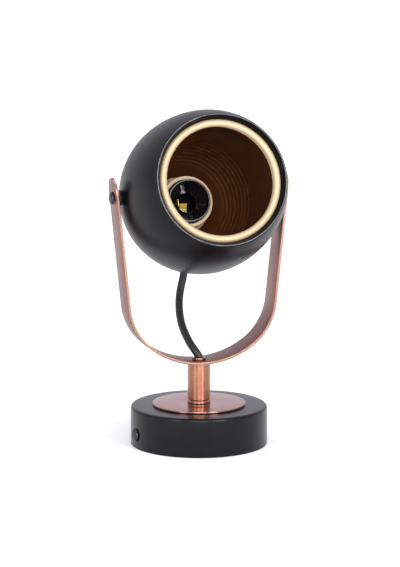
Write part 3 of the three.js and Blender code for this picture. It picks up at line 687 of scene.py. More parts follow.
@dataclass(frozen=True)
class Finish:
    """What coats and bare metals have in common.

    Args:
        name: The material's name.
        slot: The material slot that it stands for; not used.
        colour: The main colour.
        second: The colour in a coat's soft patches or in a metal's tool lines.
        edge: The colour of rubbed edges, and on the liner and the shade's rim the colour of a painted
            highlight.
        roughness: How dull it is.
        depth: How deep the grain or lines are, from 0 to 1.
        edge_wear: How far the edges are rubbed; on the liner and the rim, how strong the painted edge
            highlight is.
        dust: How much dust lies on it.
    """

    name: str
    slot: str
    colour: Colour
    second: Colour
    edge: Colour
    roughness: float
    depth: float = 0.12
    edge_wear: float = 0.3
    dust: float = 0.05
    dust_colour: ClassVar[Colour]

    def weather(self, graph: Graph, effects: SharedEffects, colour: Socket) -> tuple[Socket, Socket]:
        """Rubs the edges, which on the liner and the rim paints a highlight along them, and lays dust.

        Args:
            graph: The material's graph.
            effects: The shared node groups.
            colour: The colour so far.

        Returns:
            The weathered colour and the dust's mask.
        """
        edge_mask = graph.use(effects.edges, {"Amount": self.edge_wear}).outputs["Mask"]
        dusty = graph.use(effects.dust, {"Amount": self.dust}).outputs["Mask"]
        return graph.mix(dusty, graph.mix(edge_mask, colour, self.edge), self.dust_colour), dusty

    def inputs(self, graph: Graph, effects: SharedEffects) -> dict:
        """Draws the nodes of this kind of finish and returns the shader's inputs."""
        raise NotImplementedError

    def mix(self, effects: SharedEffects) -> bpy.types.Material:
        """Makes the material.

        Args:
            effects: The shared node groups.

        Returns:
            The material.
        """
        material = bpy.data.materials.new(self.name)
        material.use_nodes = True
        graph = Graph(material.node_tree)
        graph.surface(self.inputs(graph, effects))
        return material


@dataclass(frozen=True)
class CoatFinish(Finish):
    """A coat or moulding with fine grain: satin paint, lacquer, plastic or rubber.

    Args:
        roughness_spread: How much the dullness varies over it.
        fineness: The grain's size, as noise scale.
        specular: The strength of its reflection.
        metallic: How metallic it is.
        sheen: The strength of a soft sheen.
    """

    roughness_spread: float = 0.06
    fineness: float = 1400.0
    specular: float = 0.5
    metallic: float = 0.0
    sheen: float = 0.0
    dust_colour: ClassVar[Colour] = tone(176, 170, 160)

    def inputs(self, graph: Graph, effects: SharedEffects) -> dict:
        """Draws the coat's nodes.

        Args:
            graph: The material's graph.
            effects: The shared node groups.

        Returns:
            The shader's inputs.
        """
        grain = graph.use(effects.grain, {"Fineness": self.fineness, "Depth": self.depth}).outputs
        drifting = graph.mix(grain["Cloud"], self.colour, self.second)
        colour, dusty = self.weather(graph, effects, drifting)
        spread = graph.times(grain["Cloud"], self.roughness_spread)
        dulled = graph.plus(spread, graph.times(dusty, self.roughness))
        return {
            "Base Color": colour,
            "Roughness": graph.plus(dulled, self.roughness),
            "Normal": grain["Normal"],
            "Metallic": self.metallic,
            "Specular IOR Level": self.specular,
            "Sheen Weight": self.sheen,
        }


@dataclass(frozen=True)
class MetalFinish(Finish):
    """Bare or lacquered metal with fine tool lines.

    Args:
        lines: Which way the tool lines run.
        line_count: How many lines a metre holds.
        anisotropic: How far the reflection stretches across the lines.
        coat: The strength of a clear lacquer.
    """

    depth: float = 0.15
    edge_wear: float = 0.6
    dust: float = 0.04
    lines: Lines = Lines.BRUSHED
    line_count: float = 5200.0
    anisotropic: float = 0.0
    coat: float = 0.0
    dust_colour: ClassVar[Colour] = tone(190, 184, 176)

    def line_vector(self, graph: Graph) -> Socket:
        """Prepares the vector on which the tool lines lie.

        Args:
            graph: The material's graph.

        Returns:
            The vector: radius and height for turned pieces, stretched lengthwise for brushed ones.
        """
        spot, along = graph.spot(), 30.0
        if self.lines is Lines.BRUSHED:
            scale = (along, self.line_count, along)
            return graph.add("ShaderNodeMapping", {"Vector": spot, "Scale": scale}).outputs["Vector"]
        parts = graph.add("ShaderNodeSeparateXYZ", {"Vector": spot}).outputs
        squares = [graph.times(parts[axis], parts[axis]) for axis in ("X", "Y")]
        rings = graph.times(graph.reckon("SQRT", graph.plus(*squares)), self.line_count)
        height = graph.times(parts["Z"], self.line_count)
        return graph.add("ShaderNodeCombineXYZ", {"X": rings, "Y": height}).outputs["Vector"]

    def inputs(self, graph: Graph, effects: SharedEffects) -> dict:
        """Draws the metal's nodes.

        Args:
            graph: The material's graph.
            effects: The shared node groups.

        Returns:
            The shader's inputs.
        """
        fineness, haze, cloud_spread, line_spread = 900.0, 0.35, 0.06, 0.05
        lines = graph.use(effects.lines, {"Vector": self.line_vector(graph), "Depth": self.depth}).outputs
        cloud = graph.use(effects.grain, {"Fineness": fineness, "Depth": 0.0}).outputs["Cloud"]
        lined = graph.mix(lines["Lines"], self.second, self.colour)
        hazy = graph.mix(graph.times(cloud, haze), lined, self.second)
        colour, dusty = self.weather(graph, effects, hazy)
        streaks = graph.times(lines["Lines"], line_spread)
        dulled = graph.plus(graph.times(cloud, cloud_spread), graph.plus(streaks, dusty))
        inputs = {
            "Base Color": colour,
            "Roughness": graph.plus(dulled, self.roughness),
            "Normal": lines["Normal"],
            "Metallic": 1.0,
            "Anisotropic": self.anisotropic,
            "Anisotropic Rotation": 0.25,
            "Coat Weight": self.coat,
            "Coat Roughness": 0.2,
        }
        if self.anisotropic:
            inputs["Tangent"] = graph.add("ShaderNodeTangent", direction_type="RADIAL", axis="Z").outputs[0]
        return inputs


def paint(name: str, slot: str, *tones: Point, roughness: float, **looks: float) -> CoatFinish:
    """Describes a coat by its main, drifting and edge colours as a screen shows them."""
    return CoatFinish(name, slot, *(tone(*shown) for shown in tones), roughness, **looks)


def metal(name: str, slot: str, *tones: Point, roughness: float, **looks: object) -> MetalFinish:
    """Describes a metal by its main, line and edge colours as a screen shows them."""
    return MetalFinish(name, slot, *(tone(*shown) for shown in tones), roughness, **looks)


def jacket(name: str, *shown: int) -> CoatFinish:
    """Describes the jacket of a core by its colour, with a darker and a lighter one beside it.

    Args:
        name: The colour's name.
        *shown: The colour as a screen shows it.

    Returns:
        The finish.
    """
    darker, lighter = ([factor * part for part in tone(*shown)] for factor in (0.82, 1.25))
    colours = (tone(*shown), darker, lighter)
    return CoatFinish(f"{name}_core_jacket", f"{name}_jacket", *colours, roughness=0.45, depth=0.06)


SATIN = {"roughness_spread": 0.02, "edge_wear": 0.15, "dust": 0.01}
BLACK_PAINT = paint(
    "satin_black_paint", "black_paint", (7, 7, 9), (9, 9, 11), (84, 84, 90), roughness=0.24, depth=0.04,
    specular=0.22, **SATIN
)
SHADE_PAINT = paint(
    "satin_black_shade_paint", "black_paint", (9, 9, 11), (11, 11, 13), (84, 84, 90), roughness=0.31,
    depth=0.05, specular=0.1, **SATIN
)
BLACK_SCREW = paint(
    "gloss_black_screw", "black_paint", (12, 12, 13), (15, 15, 16), (96, 96, 102), roughness=0.2,
    depth=0.05, edge_wear=0.5
)
# The lampholder's floor: the same black moulding, darker and dull, as painted shade deep in the bore.
HOLDER_FLOOR_PAINTED_SHADE = paint(
    "holder_floor_painted_shade", "black_plastic", (9, 9, 9), (12, 12, 12), (40, 40, 42), roughness=0.7,
    specular=0.08, dust=0.0
)
# The shade's rolled rim: a paler, glossier copy of the black paint with a pale edge colour, painted as the
# highlight along the rim.
RIM_PAINTED_HIGHLIGHT = paint(
    "rim_painted_highlight_paint", "black_paint", (40, 40, 42), (46, 46, 48), (140, 140, 142), roughness=0.24,
    roughness_spread=0.02, specular=0.6, edge_wear=0.6, dust=0.0
)
# The strap's one copper plating in two copies: the wide faces darker, as painted shade and painted
# reflection of the dark shade, the narrow edges brighter, as painted highlight.
COPPER_FACE_PAINTED_SHADE = metal(
    "copper_face_painted_shade", "copper", (124, 90, 84), (116, 82, 76), (164, 116, 96), roughness=0.36
)
COPPER_EDGE_PAINTED_HIGHLIGHT = metal(
    "copper_edge_painted_highlight", "copper", (166, 126, 107), (154, 113, 94), (184, 142, 122), roughness=0.26
)
COPPER_DISC = metal(
    "polished_copper_disc", "copper", (162, 121, 116), (156, 114, 108), (200, 144, 118), roughness=0.14,
    depth=0.02, lines=Lines.TURNED
)
COPPER_TURNED = metal(
    "turned_copper", "copper", (166, 112, 86), (158, 104, 78), (194, 138, 110), roughness=0.3, depth=0.03,
    lines=Lines.TURNED, anisotropic=0.8, coat=0.7
)
GOLD_BEAD = paint(
    "gold_lacquer", "gold_paint", (198, 176, 142), (193, 169, 134), (206, 186, 154), roughness=0.55,
    metallic=0.3, depth=0.03, edge_wear=0.2, dust=0.0
)
# The liner's gold paint, painted dark brown as shade deep inside the shade; its edge colour at full
# strength paints highlights on the rib crests.
GOLD_LINER_PAINTED_SHADE = paint(
    "gold_liner_painted_shade", "gold_paint", (100, 58, 31), (93, 53, 27), (184, 118, 68), roughness=0.32,
    metallic=0.4, depth=0.02, edge_wear=1.0, dust=0.0
)
# The collar's grained gold paint, set nearly white and paler than the bead's gold, partly the paint's own
# colour and partly painted light deep inside the shade.
GOLD_COLLAR_PAINTED_LIGHT = paint(
    "grained_gold_collar_painted_light", "gold_paint", (253, 226, 190), (246, 214, 176), (255, 238, 212), roughness=0.55,
    metallic=0.05, fineness=1900.0, depth=0.35, dust=0.0
)
BLACK_PLASTIC = paint(
    "gloss_black_plastic", "black_plastic", (15, 15, 16), (18, 18, 19), (70, 70, 74), roughness=0.12,
    depth=0.03, dust=0.0
)
SPACER_PLASTIC = paint(
    "satin_black_plastic", "black_plastic", (17, 17, 18), (21, 20, 21), (60, 60, 62), roughness=0.38,
    specular=0.3
)
RUBBER = paint(
    "black_cable_sheath", "black_rubber", (24, 24, 26), (29, 29, 31), (44, 44, 48), roughness=0.42,
    specular=0.4, fineness=2600.0, depth=0.2, sheen=0.02
)
WHITE_PLASTIC = paint(
    "white_nylon", "white_plastic", (222, 220, 212), (212, 208, 198), (236, 234, 228), roughness=0.46
)
ZINC = metal(
    "zinc_plated_steel", "zinc_plate", (186, 188, 190), (164, 166, 170), (214, 215, 218), roughness=0.34
)
BRASS = metal("brass", "brass", (240, 196, 84), (216, 160, 52), (255, 226, 138), roughness=0.24)
# The centre contact's brass, paler and far less metallic than the side contact's, so that it shows lit in
# the dark socket: painted light.
BRASS_CONTACT_PAINTED_LIGHT = paint(
    "brass_contact_painted_light", "brass", (255, 216, 104), (250, 206, 90), (255, 236, 160), roughness=0.4,
    metallic=0.25, depth=0.05, edge_wear=0.3, dust=0.0
)
JACKETS = {
    "live": jacket("brown", 96, 54, 30),
    "neutral": jacket("blue", 44, 88, 150),
    "earth": jacket("green", 104, 146, 48),
}


class Palette:
    """The materials of the light, each mixed once from its finish."""

    def __init__(self) -> None:
        """Makes the shared effects."""
        self.effects = SharedEffects()
        self.mixed: dict[str, bpy.types.Material] = {}

    def material(self, finish: Finish) -> bpy.types.Material:
        """Gives a finish's material.

        Args:
            finish: The finish.

        Returns:
            Its material, mixed when it is first asked for.
        """
        if finish.name not in self.mixed:
            self.mixed[finish.name] = finish.mix(self.effects)
        return self.mixed[finish.name]


# View and light


@dataclass
class Viewpoint:
    """The camera at the place from which the light was photographed."""

    position: Point = (-0.6342, -2.2174, 0.5509)
    forward: Point = (0.27059, 0.94489, -0.18429)
    lens: float = 204.88
    sensor: float = 36.0
    nearest: float = 0.1
    farthest: float = 40.0

    def set_up(self) -> None:
        """Makes the camera and hands it to the scene."""
        data = bpy.data.cameras.new("viewpoint")
        data.lens = self.lens
        data.sensor_width = self.sensor
        data.clip_start = self.nearest
        data.clip_end = self.farthest
        bpy.context.scene.camera = stand("viewpoint", data, self.position, self.forward)


def stand(name: str, data: bpy.types.ID, position: Point, forward: Sequence[float]) -> Piece:
    """Stands a camera or lamp in its place.

    Args:
        name: Its name.
        data: What makes it a camera or lamp.
        position: Where it stands, in metres.
        forward: The direction in which it looks.

    Returns:
        The camera or lamp.
    """
    made = bpy.data.objects.new(name, data)
    bpy.context.scene.collection.objects.link(made)
    made.location = position
    made.rotation_mode = "QUATERNION"
    made.rotation_quaternion = Vector(forward).to_track_quat("-Z", "Y")
    return made


@dataclass(frozen=True)
class Softbox:
    """A rectangular soft lamp.

    Args:
        name: The lamp's name.
        position: Where it stands, in metres.
        target: What it points at.
        size: Its width and height in metres.
        power: Its power in watts.
        colour: Its colour.
    """

    name: str
    position: Point
    target: Point
    size: Pair
    power: float
    colour: Colour = (1.0, 1.0, 1.0)

    def hang(self) -> None:
        """Makes the lamp in its place."""
        data = bpy.data.lights.new(self.name, "AREA")
        data.shape = "RECTANGLE"
        data.size, data.size_y = self.size
        data.energy = self.power
        data.color = self.colour
        stand(self.name, data, self.position, Vector(self.target) - Vector(self.position))


@dataclass
class Studio:
    """A white floor, a white surround and soft lamps."""

    floor_size: float = 12.0
    floor_white: Colour = (0.9, 0.9, 0.9)
    white: Colour = (1.0, 1.0, 1.0)
    near_glow: float = 0.22
    far_glow: float = 0.75
    glow_from: float = 0.1
    glow_to: float = 1.1
    surround_colour: Colour = (0.9, 0.89, 1.0)
    surround_level: float = 0.55
    softboxes: tuple[Softbox, ...] = (
        Softbox("left_softbox", (-1.57, -1.06, 0.75), (0.0, 0.0, 0.13), (0.55, 1.4), 11.0),
        Softbox("right_softbox", (0.7, -1.78, 0.86), (0.0, 0.0, 0.184), (0.65, 1.5), 24.0),
        Softbox("front_softbox", (-0.4, -1.65, 0.76), (0.0, 0.0, 0.184), (0.95, 0.95), 18.0),
        Softbox("top_softbox", (0.1, 0.5, 1.8), (0.0, 0.0, 0.13), (1.4, 1.0), 8.0, (0.93, 0.93, 1.0)),
    )

    def seen_directly(self, graph: Graph) -> Socket:
        """Tells camera, mirror and glass rays from the others.

        Args:
            graph: The material's or world's graph.

        Returns:
            A socket that is 1 for those rays and 0 for others.
        """
        path = graph.add("ShaderNodeLightPath").outputs
        mirrored = graph.reckon("MAXIMUM", path["Is Camera Ray"], path["Is Glossy Ray"])
        return graph.reckon("MAXIMUM", mirrored, path["Is Transmission Ray"])

    def lay_floor(self) -> None:
        """Lays the pale floor, which keeps the light's shadow."""
        clear_bench()
        bpy.ops.mesh.primitive_plane_add(size=self.floor_size)
        floor = bpy.context.object
        floor.name = "floor"
        material = bpy.data.materials.new("white_floor")
        material.use_nodes = True
        graph = Graph(material.node_tree)
        seen = self.seen_directly(graph)
        reach = graph.add("ShaderNodeVectorMath", {0: graph.spot()}, operation="LENGTH").outputs["Value"]
        away = graph.ramp(reach, self.glow_from, self.glow_to)
        rise = graph.times(away, self.far_glow - self.near_glow)
        graph.surface(
            {
                "Base Color": self.floor_white,
                "Roughness": 1.0,
                "Specular IOR Level": 0.0,
                "Emission Color": self.white,
                "Emission Strength": graph.times(seen, graph.plus(rise, self.near_glow)),
            }
        )
        floor.data.materials.append(material)

    def light_surround(self) -> None:
        """Fills the surround with soft light and shows it white."""
        world = bpy.data.worlds.new("surround")
        world.use_nodes = True
        graph = Graph(world.node_tree)
        camera_ray = graph.add("ShaderNodeLightPath").outputs["Is Camera Ray"]
        seen = self.seen_directly(graph)
        colour = graph.mix(camera_ray, self.surround_colour, self.white)
        unseen = graph.times(graph.reckon("SUBTRACT", 1.0, seen), self.surround_level)
        inputs = {"Color": colour, "Strength": graph.plus(seen, unseen)}
        background = graph.add("ShaderNodeBackground", inputs)
        graph.add("ShaderNodeOutputWorld", {"Surface": background.outputs["Background"]})
        bpy.context.scene.world = world

    def set_up(self) -> None:
        """Builds the studio and sets how the picture is shown."""
        bpy.context.scene.view_settings.view_transform = "Standard"
        self.lay_floor()
        self.light_surround()
        for lamp in self.softboxes:
            lamp.hang()


# Fasteners


@dataclass(frozen=True)
class Screw:
    """A screw with a domed and slotted head that stands on z = 0. Sizes in millimetres."""

    head_radius: float
    head_height: float
    shank_radius: float
    slot_width: float = 1.2
    slot_share: float = 0.45
    rim_share: float = 0.3
    sides: int = 48

    def model(self, name: str, length: float) -> Piece:
        """Models the screw.

        Args:
            name: The screw's name.
            length: How far its shank goes down.

        Returns:
            The screw.
        """
        radius, height, shank = self.head_radius, self.head_height, self.shank_radius
        rim = height * self.rim_share
        dome = ellipse(radius, rim, height - rim, 0, 90, 10)
        foot = [(0.0, -length), (shank, -length), (shank, 0.0), (radius, 0.0)]
        lower = eased([*foot, dome[0]], ease=0.15, closed=False)[:-1]
        screw = turn(name, [*lower, *dome[:-1], (0.0, height)], self.sides, closed=False)
        depth = height * self.slot_share
        lengths = (2 * radius + CUT_OVERRUN, self.slot_width, depth + CUT_OVERRUN)
        cut(screw, slab("slot_tool", lengths, (0, 0, height + (CUT_OVERRUN - depth) / 2)))
        soften(screw, width=0.1, sharpest=50)
        return screw


CANOPY_SCREW = Screw(5.0, 2.2, 2.0)
BLOCK_SCREW = Screw(2.7, 1.6, 1.4)
FIXING_SCREW = Screw(3.8, 2.0, 1.9)
PIVOT_SCREW = Screw(4.7, 2.4, 2.0)
HOLDER_SCREW = Screw(2.2, 1.2, 1.3)


def grub_screw(name: str, radius: float, length: float) -> Piece:
    """Models a headless slotted screw that stands on z = 0.

    Args:
        name: Its name.
        radius: Its radius in millimetres.
        length: Its length.

    Returns:
        The screw.
    """
    corners = [(0.0, 0.0), (radius, 0.0), (radius, length), (0.0, length)]
    slot_width, slot_height = 0.7, 2.0
    screw = turn(name, eased(corners, ease=0.3, closed=False), sides=40, closed=False)
    cut(screw, slab("slot_tool", (3 * radius, slot_width, slot_height), (0, 0, length)))
    soften(screw, width=0.06, sharpest=50)
    return screw


def hex_nut(name: str, across_flats: float, height: float, bore: float) -> Piece:
    """Models a hexagon nut with chamfered corners that stands on z = 0.

    Args:
        name: The nut's name.
        across_flats: Its width over two flats in millimetres.
        height: Its height.
        bore: Its bore's radius.

    Returns:
        The nut.
    """
    corner, overrun, chamfer = across_flats / math.sqrt(3), CUT_OVERRUN / 6, 0.5
    clear_bench()
    placing = (0, 0, height / 2 * MM)
    bpy.ops.mesh.primitive_cylinder_add(
        vertices=6, radius=corner * MM, depth=height * MM, location=placing, end_fill_type="NGON"
    )
    nut = bpy.context.object
    nut.name = name
    bpy.ops.object.transform_apply(location=True, rotation=True, scale=True)
    narrow, wide = across_flats / 2 - chamfer / 2, corner + CUT_OVERRUN
    low, high = -overrun, height + overrun
    outside = [(narrow, low), (wide, low), (wide, high), (narrow, high)]
    ring = turn("chamfer_tool", [*outside, (corner, height - chamfer), (corner, chamfer)], sides=60)
    cut(nut, ring, drill(bore, -CUT_OVERRUN, height + CUT_OVERRUN))
    soften(nut, width=0.12, sharpest=25)
    return nut


def flat_ring(name: str, outer: float, inner: float, base: float, height: float, ease: float) -> Piece:
    """Models a washer or short tube on the Z axis.

    Args:
        name: Its name.
        outer: Its outer radius in millimetres.
        inner: Its inner radius.
        base: The height of its lower face.
        height: Its own height.
        ease: How far its edges are rounded.

    Returns:
        The ring.
    """
    top = base + height
    corners = [(inner, base), (outer, base), (outer, top), (inner, top)]
    return turn(name, eased(corners, ease), sides=96)


# The light's pieces


@dataclass
class Assembly:
    """Pieces that move with one body and are drawn about one seat. Sizes in millimetres."""

    palette: Palette
    body: ClassVar[Body]
    seat: ClassVar[Matrix] = HERE

    def build(self) -> None:
        """Builds all pieces of the assembly."""
        raise NotImplementedError

    def paint_faces(self, piece: Piece, main: Finish, other: Finish, chosen: FaceTest) -> None:
        """Gives chosen faces of a piece another finish than the rest.

        Args:
            piece: The piece, without materials.
            main: The finish of the rest.
            other: The finish of the chosen faces.
            chosen: Says by a face's middle and normal whether it is one of them.
        """
        piece.data.materials.append(self.palette.material(main))
        piece.data.materials.append(self.palette.material(other))
        for face in piece.data.polygons:
            face.material_index = int(chosen(face.center, face.normal))

    def finish_piece(self, piece: Piece, finish: Finish, node: str) -> None:
        """Shades, paints and seats a piece that is in its place.

        Args:
            piece: The piece.
            finish: Its main finish.
            node: The CAD node that it replaces.
        """
        take_up(piece)
        bpy.ops.object.shade_smooth_by_angle(angle=SMOOTH_ANGLE)
        if not piece.data.materials:
            piece.data.materials.append(self.palette.material(finish))
        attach(piece, self.body.value)
        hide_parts(node)
        log.info("%s rides on %s, %d faces", piece.name, self.body.value, len(piece.data.polygons))

    def dress(self, piece: Piece, finish: Finish, node: str, placing: Matrix = HERE) -> None:
        """Moves a piece to its place on the seat and finishes it.

        Args:
            piece: The piece, drawn about the origin.
            finish: Its finish.
            node: The CAD node that it replaces.
            placing: Where it goes from the seat.
        """
        place(piece, self.seat @ placing)
        self.finish_piece(piece, finish, node)

    def dress_pair(self, model: Piece, finish: Finish, node: str, places: dict[str, Matrix]) -> None:
        """Copies a piece and dresses both.

        Args:
            model: The piece, named without its ending.
            finish: Its finish.
            node: The two CAD nodes' name without its ending.
            places: The two places from the seat, by the names' endings.
        """
        name, twin = model.name, model.copy()
        twin.data = model.data.copy()
        bpy.context.scene.collection.objects.link(twin)
        for piece, (ending, placing) in zip((model, twin), places.items()):
            piece.name = f"{name}_{ending}"
            self.dress(piece, finish, f"{node}_{ending}", placing)

    def draw_cores(self, name: str, node: str, steps: int, routes: dict[str, Sequence[Point]]) -> None:
        """Draws wire cores.

        Args:
            name: The pieces' name without its ending.
            node: The CAD nodes' name without its ending.
            steps: How many steps each span of a route takes.
            routes: The routes by what the cores carry.
        """
        for kind, route in routes.items():
            line = [self.seat @ point for point in smooth_route(route, steps)]
            core = draw_tube(f"{name}_{kind}", line, CORE_RADIUS)
            self.finish_piece(core, JACKETS[kind], f"{node}_{kind}")


def both_sides(reach: float, height: float = 0.0) -> dict[str, Matrix]:
    """Finds the two places on the right and left at which Z points outwards.

    Args:
        reach: How far they are from the middle, in millimetres.
        height: Their height.

    Returns:
        The places by side.
    """
    sides = {"right": 1, "left": -1}
    turns = {name: Matrix.Rotation(side * QUARTER_TURN, 4, "Y") for name, side in sides.items()}
    return {name: at(side * reach, 0, height) @ turns[name] for name, side in sides.items()}


@dataclass
class FreeCable(Assembly):
    """The cable's free length from the shade's grommet to the hollow bolt, in millimetres."""

    route: tuple[Point, ...] = (
        (0, 34.53, 134.03), (0, 37.3, 127.7), (-0.1, 38.7, 123.9), (-0.3, 39.6, 119.6),
        (-1.1, 39.8, 114.8), (-2.5, 39, 109.8), (-4, 37.2, 104.7), (-5.3, 34.5, 99.6),
        (-6.2, 31.1, 94.6), (-6.8, 27, 89.8), (-7, 22.3, 85.2), (-6.7, 17.2, 81), (-5.9, 12, 76.9),
        (-4.7, 7.2, 73), (-3.3, 3.7, 70.1), (-2, 1.5, 67.8), (-0.85, 0.35, 65.9), (-0.15, 0, 64.3),
        (0.2, -0.1, 63),
    )
    radius: float = 2.85
    spans: int = 6
    bend_start: Point = (0, 0, 61)
    bend_end: Point = (0, 20, 130)

    def build(self) -> None:
        line = smooth_route(self.route, self.spans)
        cable = draw_tube("cable_sheath", line, self.radius, roundness=8)
        take_up(cable)
        bpy.ops.object.shade_smooth_by_angle(angle=SMOOTH_ANGLE)
        cable.data.materials.clear()
        cable.data.materials.append(self.palette.material(RUBBER))
        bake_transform(cable)
        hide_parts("cable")


@dataclass
class Canopy(Assembly):
    """The round housing against the wall with the wiring inside it. Sizes in millimetres."""

    body: ClassVar[Body] = Body.BASE
    seat: ClassVar[Matrix] = CANOPY_PLACE
    radius: float = 50.0
    height: float = 28.5
    wall: float = 1.0
    edge: float = 2.0
    foot_roll: float = 0.3
    bolt_hole: float = 4.55
    screw_height: float = 10.0
    screw_length: float = 9.0
    screw_gap: float = 0.2
    bar_width: float = 18.0
    bar_thickness: float = 1.5
    bar_ear: float = 17.0
    bar_reach: float = 47.866
    bar_slot_length: float = 10.0
    bar_slot_width: float = 4.0
    bar_slot_place: float = 36.866
    block_size: Point = (14.0, 17.0, 10.5)
    block_place: float = 18.0
    block_base: float = 1.7
    block_hole: float = 1.75
    groove_width: float = 1.2
    groove_height: float = 2.4
    groove_place: float = 2.6
    terminal_height: float = 5.2
    terminal_pitch: float = 10.0
    terminal_place: float = 14.5
    terminal_bore: float = 1.5
    pocket_radius: float = 2.05
    grub_radius: float = 1.7
    grub_length: float = 4.6
    earth_place: float = -16.0
    earth_hole: float = 2.25
    earth_washer_radius: float = 4.6
    earth_washer_height: float = 0.9
    gap: float = 0.2
    fixing_end: float = 0.1
    earth_screw_end: float = 0.3
    grub_gap: float = 0.3

    def side_drill(self, reach: float) -> Piece:
        """Returns a drill for the two side screws' holes."""
        radius = CANOPY_SCREW.shank_radius + CLEARANCE
        return drill(radius, -reach, reach, at(0, 0, self.screw_height) @ LYING)

    def build_shell(self) -> None:
        """Turns the housing and drills its two side holes."""
        corner = (self.radius - self.edge, self.height - self.edge)
        profile = [
            (self.radius - self.wall, 0.0),
            (self.radius, 0.0),
            *arc(corner, self.edge, 0, 90, 10),
            (self.bolt_hole, self.height),
            (self.bolt_hole, self.height - self.wall),
            *arc(corner, self.edge - self.wall, 90, 0, 6),
        ]
        shell = turn("canopy_shell", eased(profile, self.foot_roll), sides=160)
        cut(shell, self.side_drill(self.radius + CUT_OVERRUN))
        self.dress(shell, BLACK_PAINT, "canopy")

    def build_side_screws(self) -> None:
        """Models one side screw and copies it to the other side."""
        screw = CANOPY_SCREW.model("canopy_side_screw", self.screw_length)
        places = both_sides(self.radius + self.screw_gap, self.screw_height)
        self.dress_pair(screw, BLACK_SCREW, "canopy_screw", places)

    def build_wall_bar(self) -> None:
        """Folds the wall bar from a flat strip and punches its slots."""
        reach, ear = self.bar_reach, self.bar_ear
        line = [(-reach, ear), (-reach, 0), (reach, 0), (reach, ear)]
        bar = draw_strip("wall_bar_strip", line, self.bar_width)
        thicken(bar, self.bar_thickness)
        length, width = self.bar_slot_length, self.bar_slot_width
        deep = self.bar_thickness + CUT_OVERRUN
        tools = []
        for side in (-1, 1):
            slot = slab("slot_tool", (length, width, 2 * deep), (0, 0, 0))
            soften_chosen(slot, is_upright, width / 2, segments=8, affect="EDGES")
            tools.append(place(slot, at(side * self.bar_slot_place, 0, 0)))
        tools.append(self.side_drill(self.radius))
        for spot, radius in ((self.earth_place, self.earth_hole), (self.block_place, self.block_hole)):
            tools.append(drill(radius, -deep, deep, at(spot, 0, 0)))
        cut(bar, *tools)
        soften(bar, width=0.2)
        self.dress(bar, ZINC, "wall_bar")

    def build_terminal_block(self) -> None:
        """Models the terminal block with its screws."""
        length, _, height = self.block_size
        spot, level, half_pitch = self.block_place, self.terminal_height, self.terminal_pitch / 2
        top = self.block_base + height
        over = top + CUT_OVERRUN
        block = slab("terminal_block_body", self.block_size, (spot, 0, self.block_base + height / 2))
        soften(block, width=0.8, segments=4)
        for row in (-half_pitch, half_pitch):
            bore = drill(self.terminal_bore, -length, length, at(spot, row, level) @ LYING)
            cut(block, bore, drill(self.pocket_radius, level, over, at(self.terminal_place, row, 0)))
        cut(block, drill(self.block_hole, 0.0, over, at(spot, 0, 0)))
        groove = (length + CUT_OVERRUN, self.groove_width, self.groove_height)
        for row in (self.groove_place, -self.groove_place):
            cut(block, slab("groove_tool", groove, (spot, row, top)))
        self.dress(block, WHITE_PLASTIC, "terminal_block")
        fixing = BLOCK_SCREW.model("terminal_block_fixing", top - self.fixing_end)
        self.dress(fixing, ZINC, "terminal_block_screw", at(spot, 0, top + self.gap))
        base = level + CORE_RADIUS + self.grub_gap
        rows = {"live": -half_pitch, "neutral": half_pitch}
        places = {kind: at(self.terminal_place, row, base) for kind, row in rows.items()}
        grub = grub_screw("terminal_grub", self.grub_radius, self.grub_length)
        self.dress_pair(grub, BRASS, "terminal_screw", places)

    def build_earth_screw(self) -> None:
        """Models the earth screw and its washer."""
        radius, height = self.earth_washer_radius, self.earth_washer_height
        hole, base = self.earth_hole, self.block_base
        washer = flat_ring("earth_screw_washer", radius, hole, base, height, ease=0.15)
        self.dress(washer, ZINC, "earth_washer", at(self.earth_place, 0, 0))
        base += height + self.gap
        screw = FIXING_SCREW.model("earth_fixing", base - self.earth_screw_end)
        self.dress(screw, ZINC, "earth_screw", at(self.earth_place, 0, base))

    def build_cores(self) -> None:
        """Draws the three cores inside the canopy."""
        routes = {
            "live": (
                (1.5, 0.3, 13.6), (2, -0.6, 11.2), (4, -2.9, 8), (7.4, -4.8, 5.7), (11, -5, 5.2),
                (14, -5, 5.2),
            ),
            "neutral": (
                (-0.9, 1.3, 13.6), (0, 2.4, 10.8), (3.4, 4, 7.4), (7.4, 4.9, 5.6), (11, 5, 5.2),
                (14, 5, 5.2),
            ),
            "earth": (
                (-0.9, -1.3, 13.6), (-1.7, -1.6, 11), (-3.6, -1.2, 7.4), (-6.2, -0.5, 4.6),
                (-8.8, 0, 3.2), (-10.9, 0, 2.9),
            ),
        }
        self.draw_cores("canopy_core", "core", 6, routes)

    def build(self) -> None:
        """Builds the canopy and all that it holds."""
        self.build_shell()
        self.build_side_screws()
        self.build_wall_bar()
        self.build_terminal_block()
        self.build_earth_screw()
        self.build_cores()


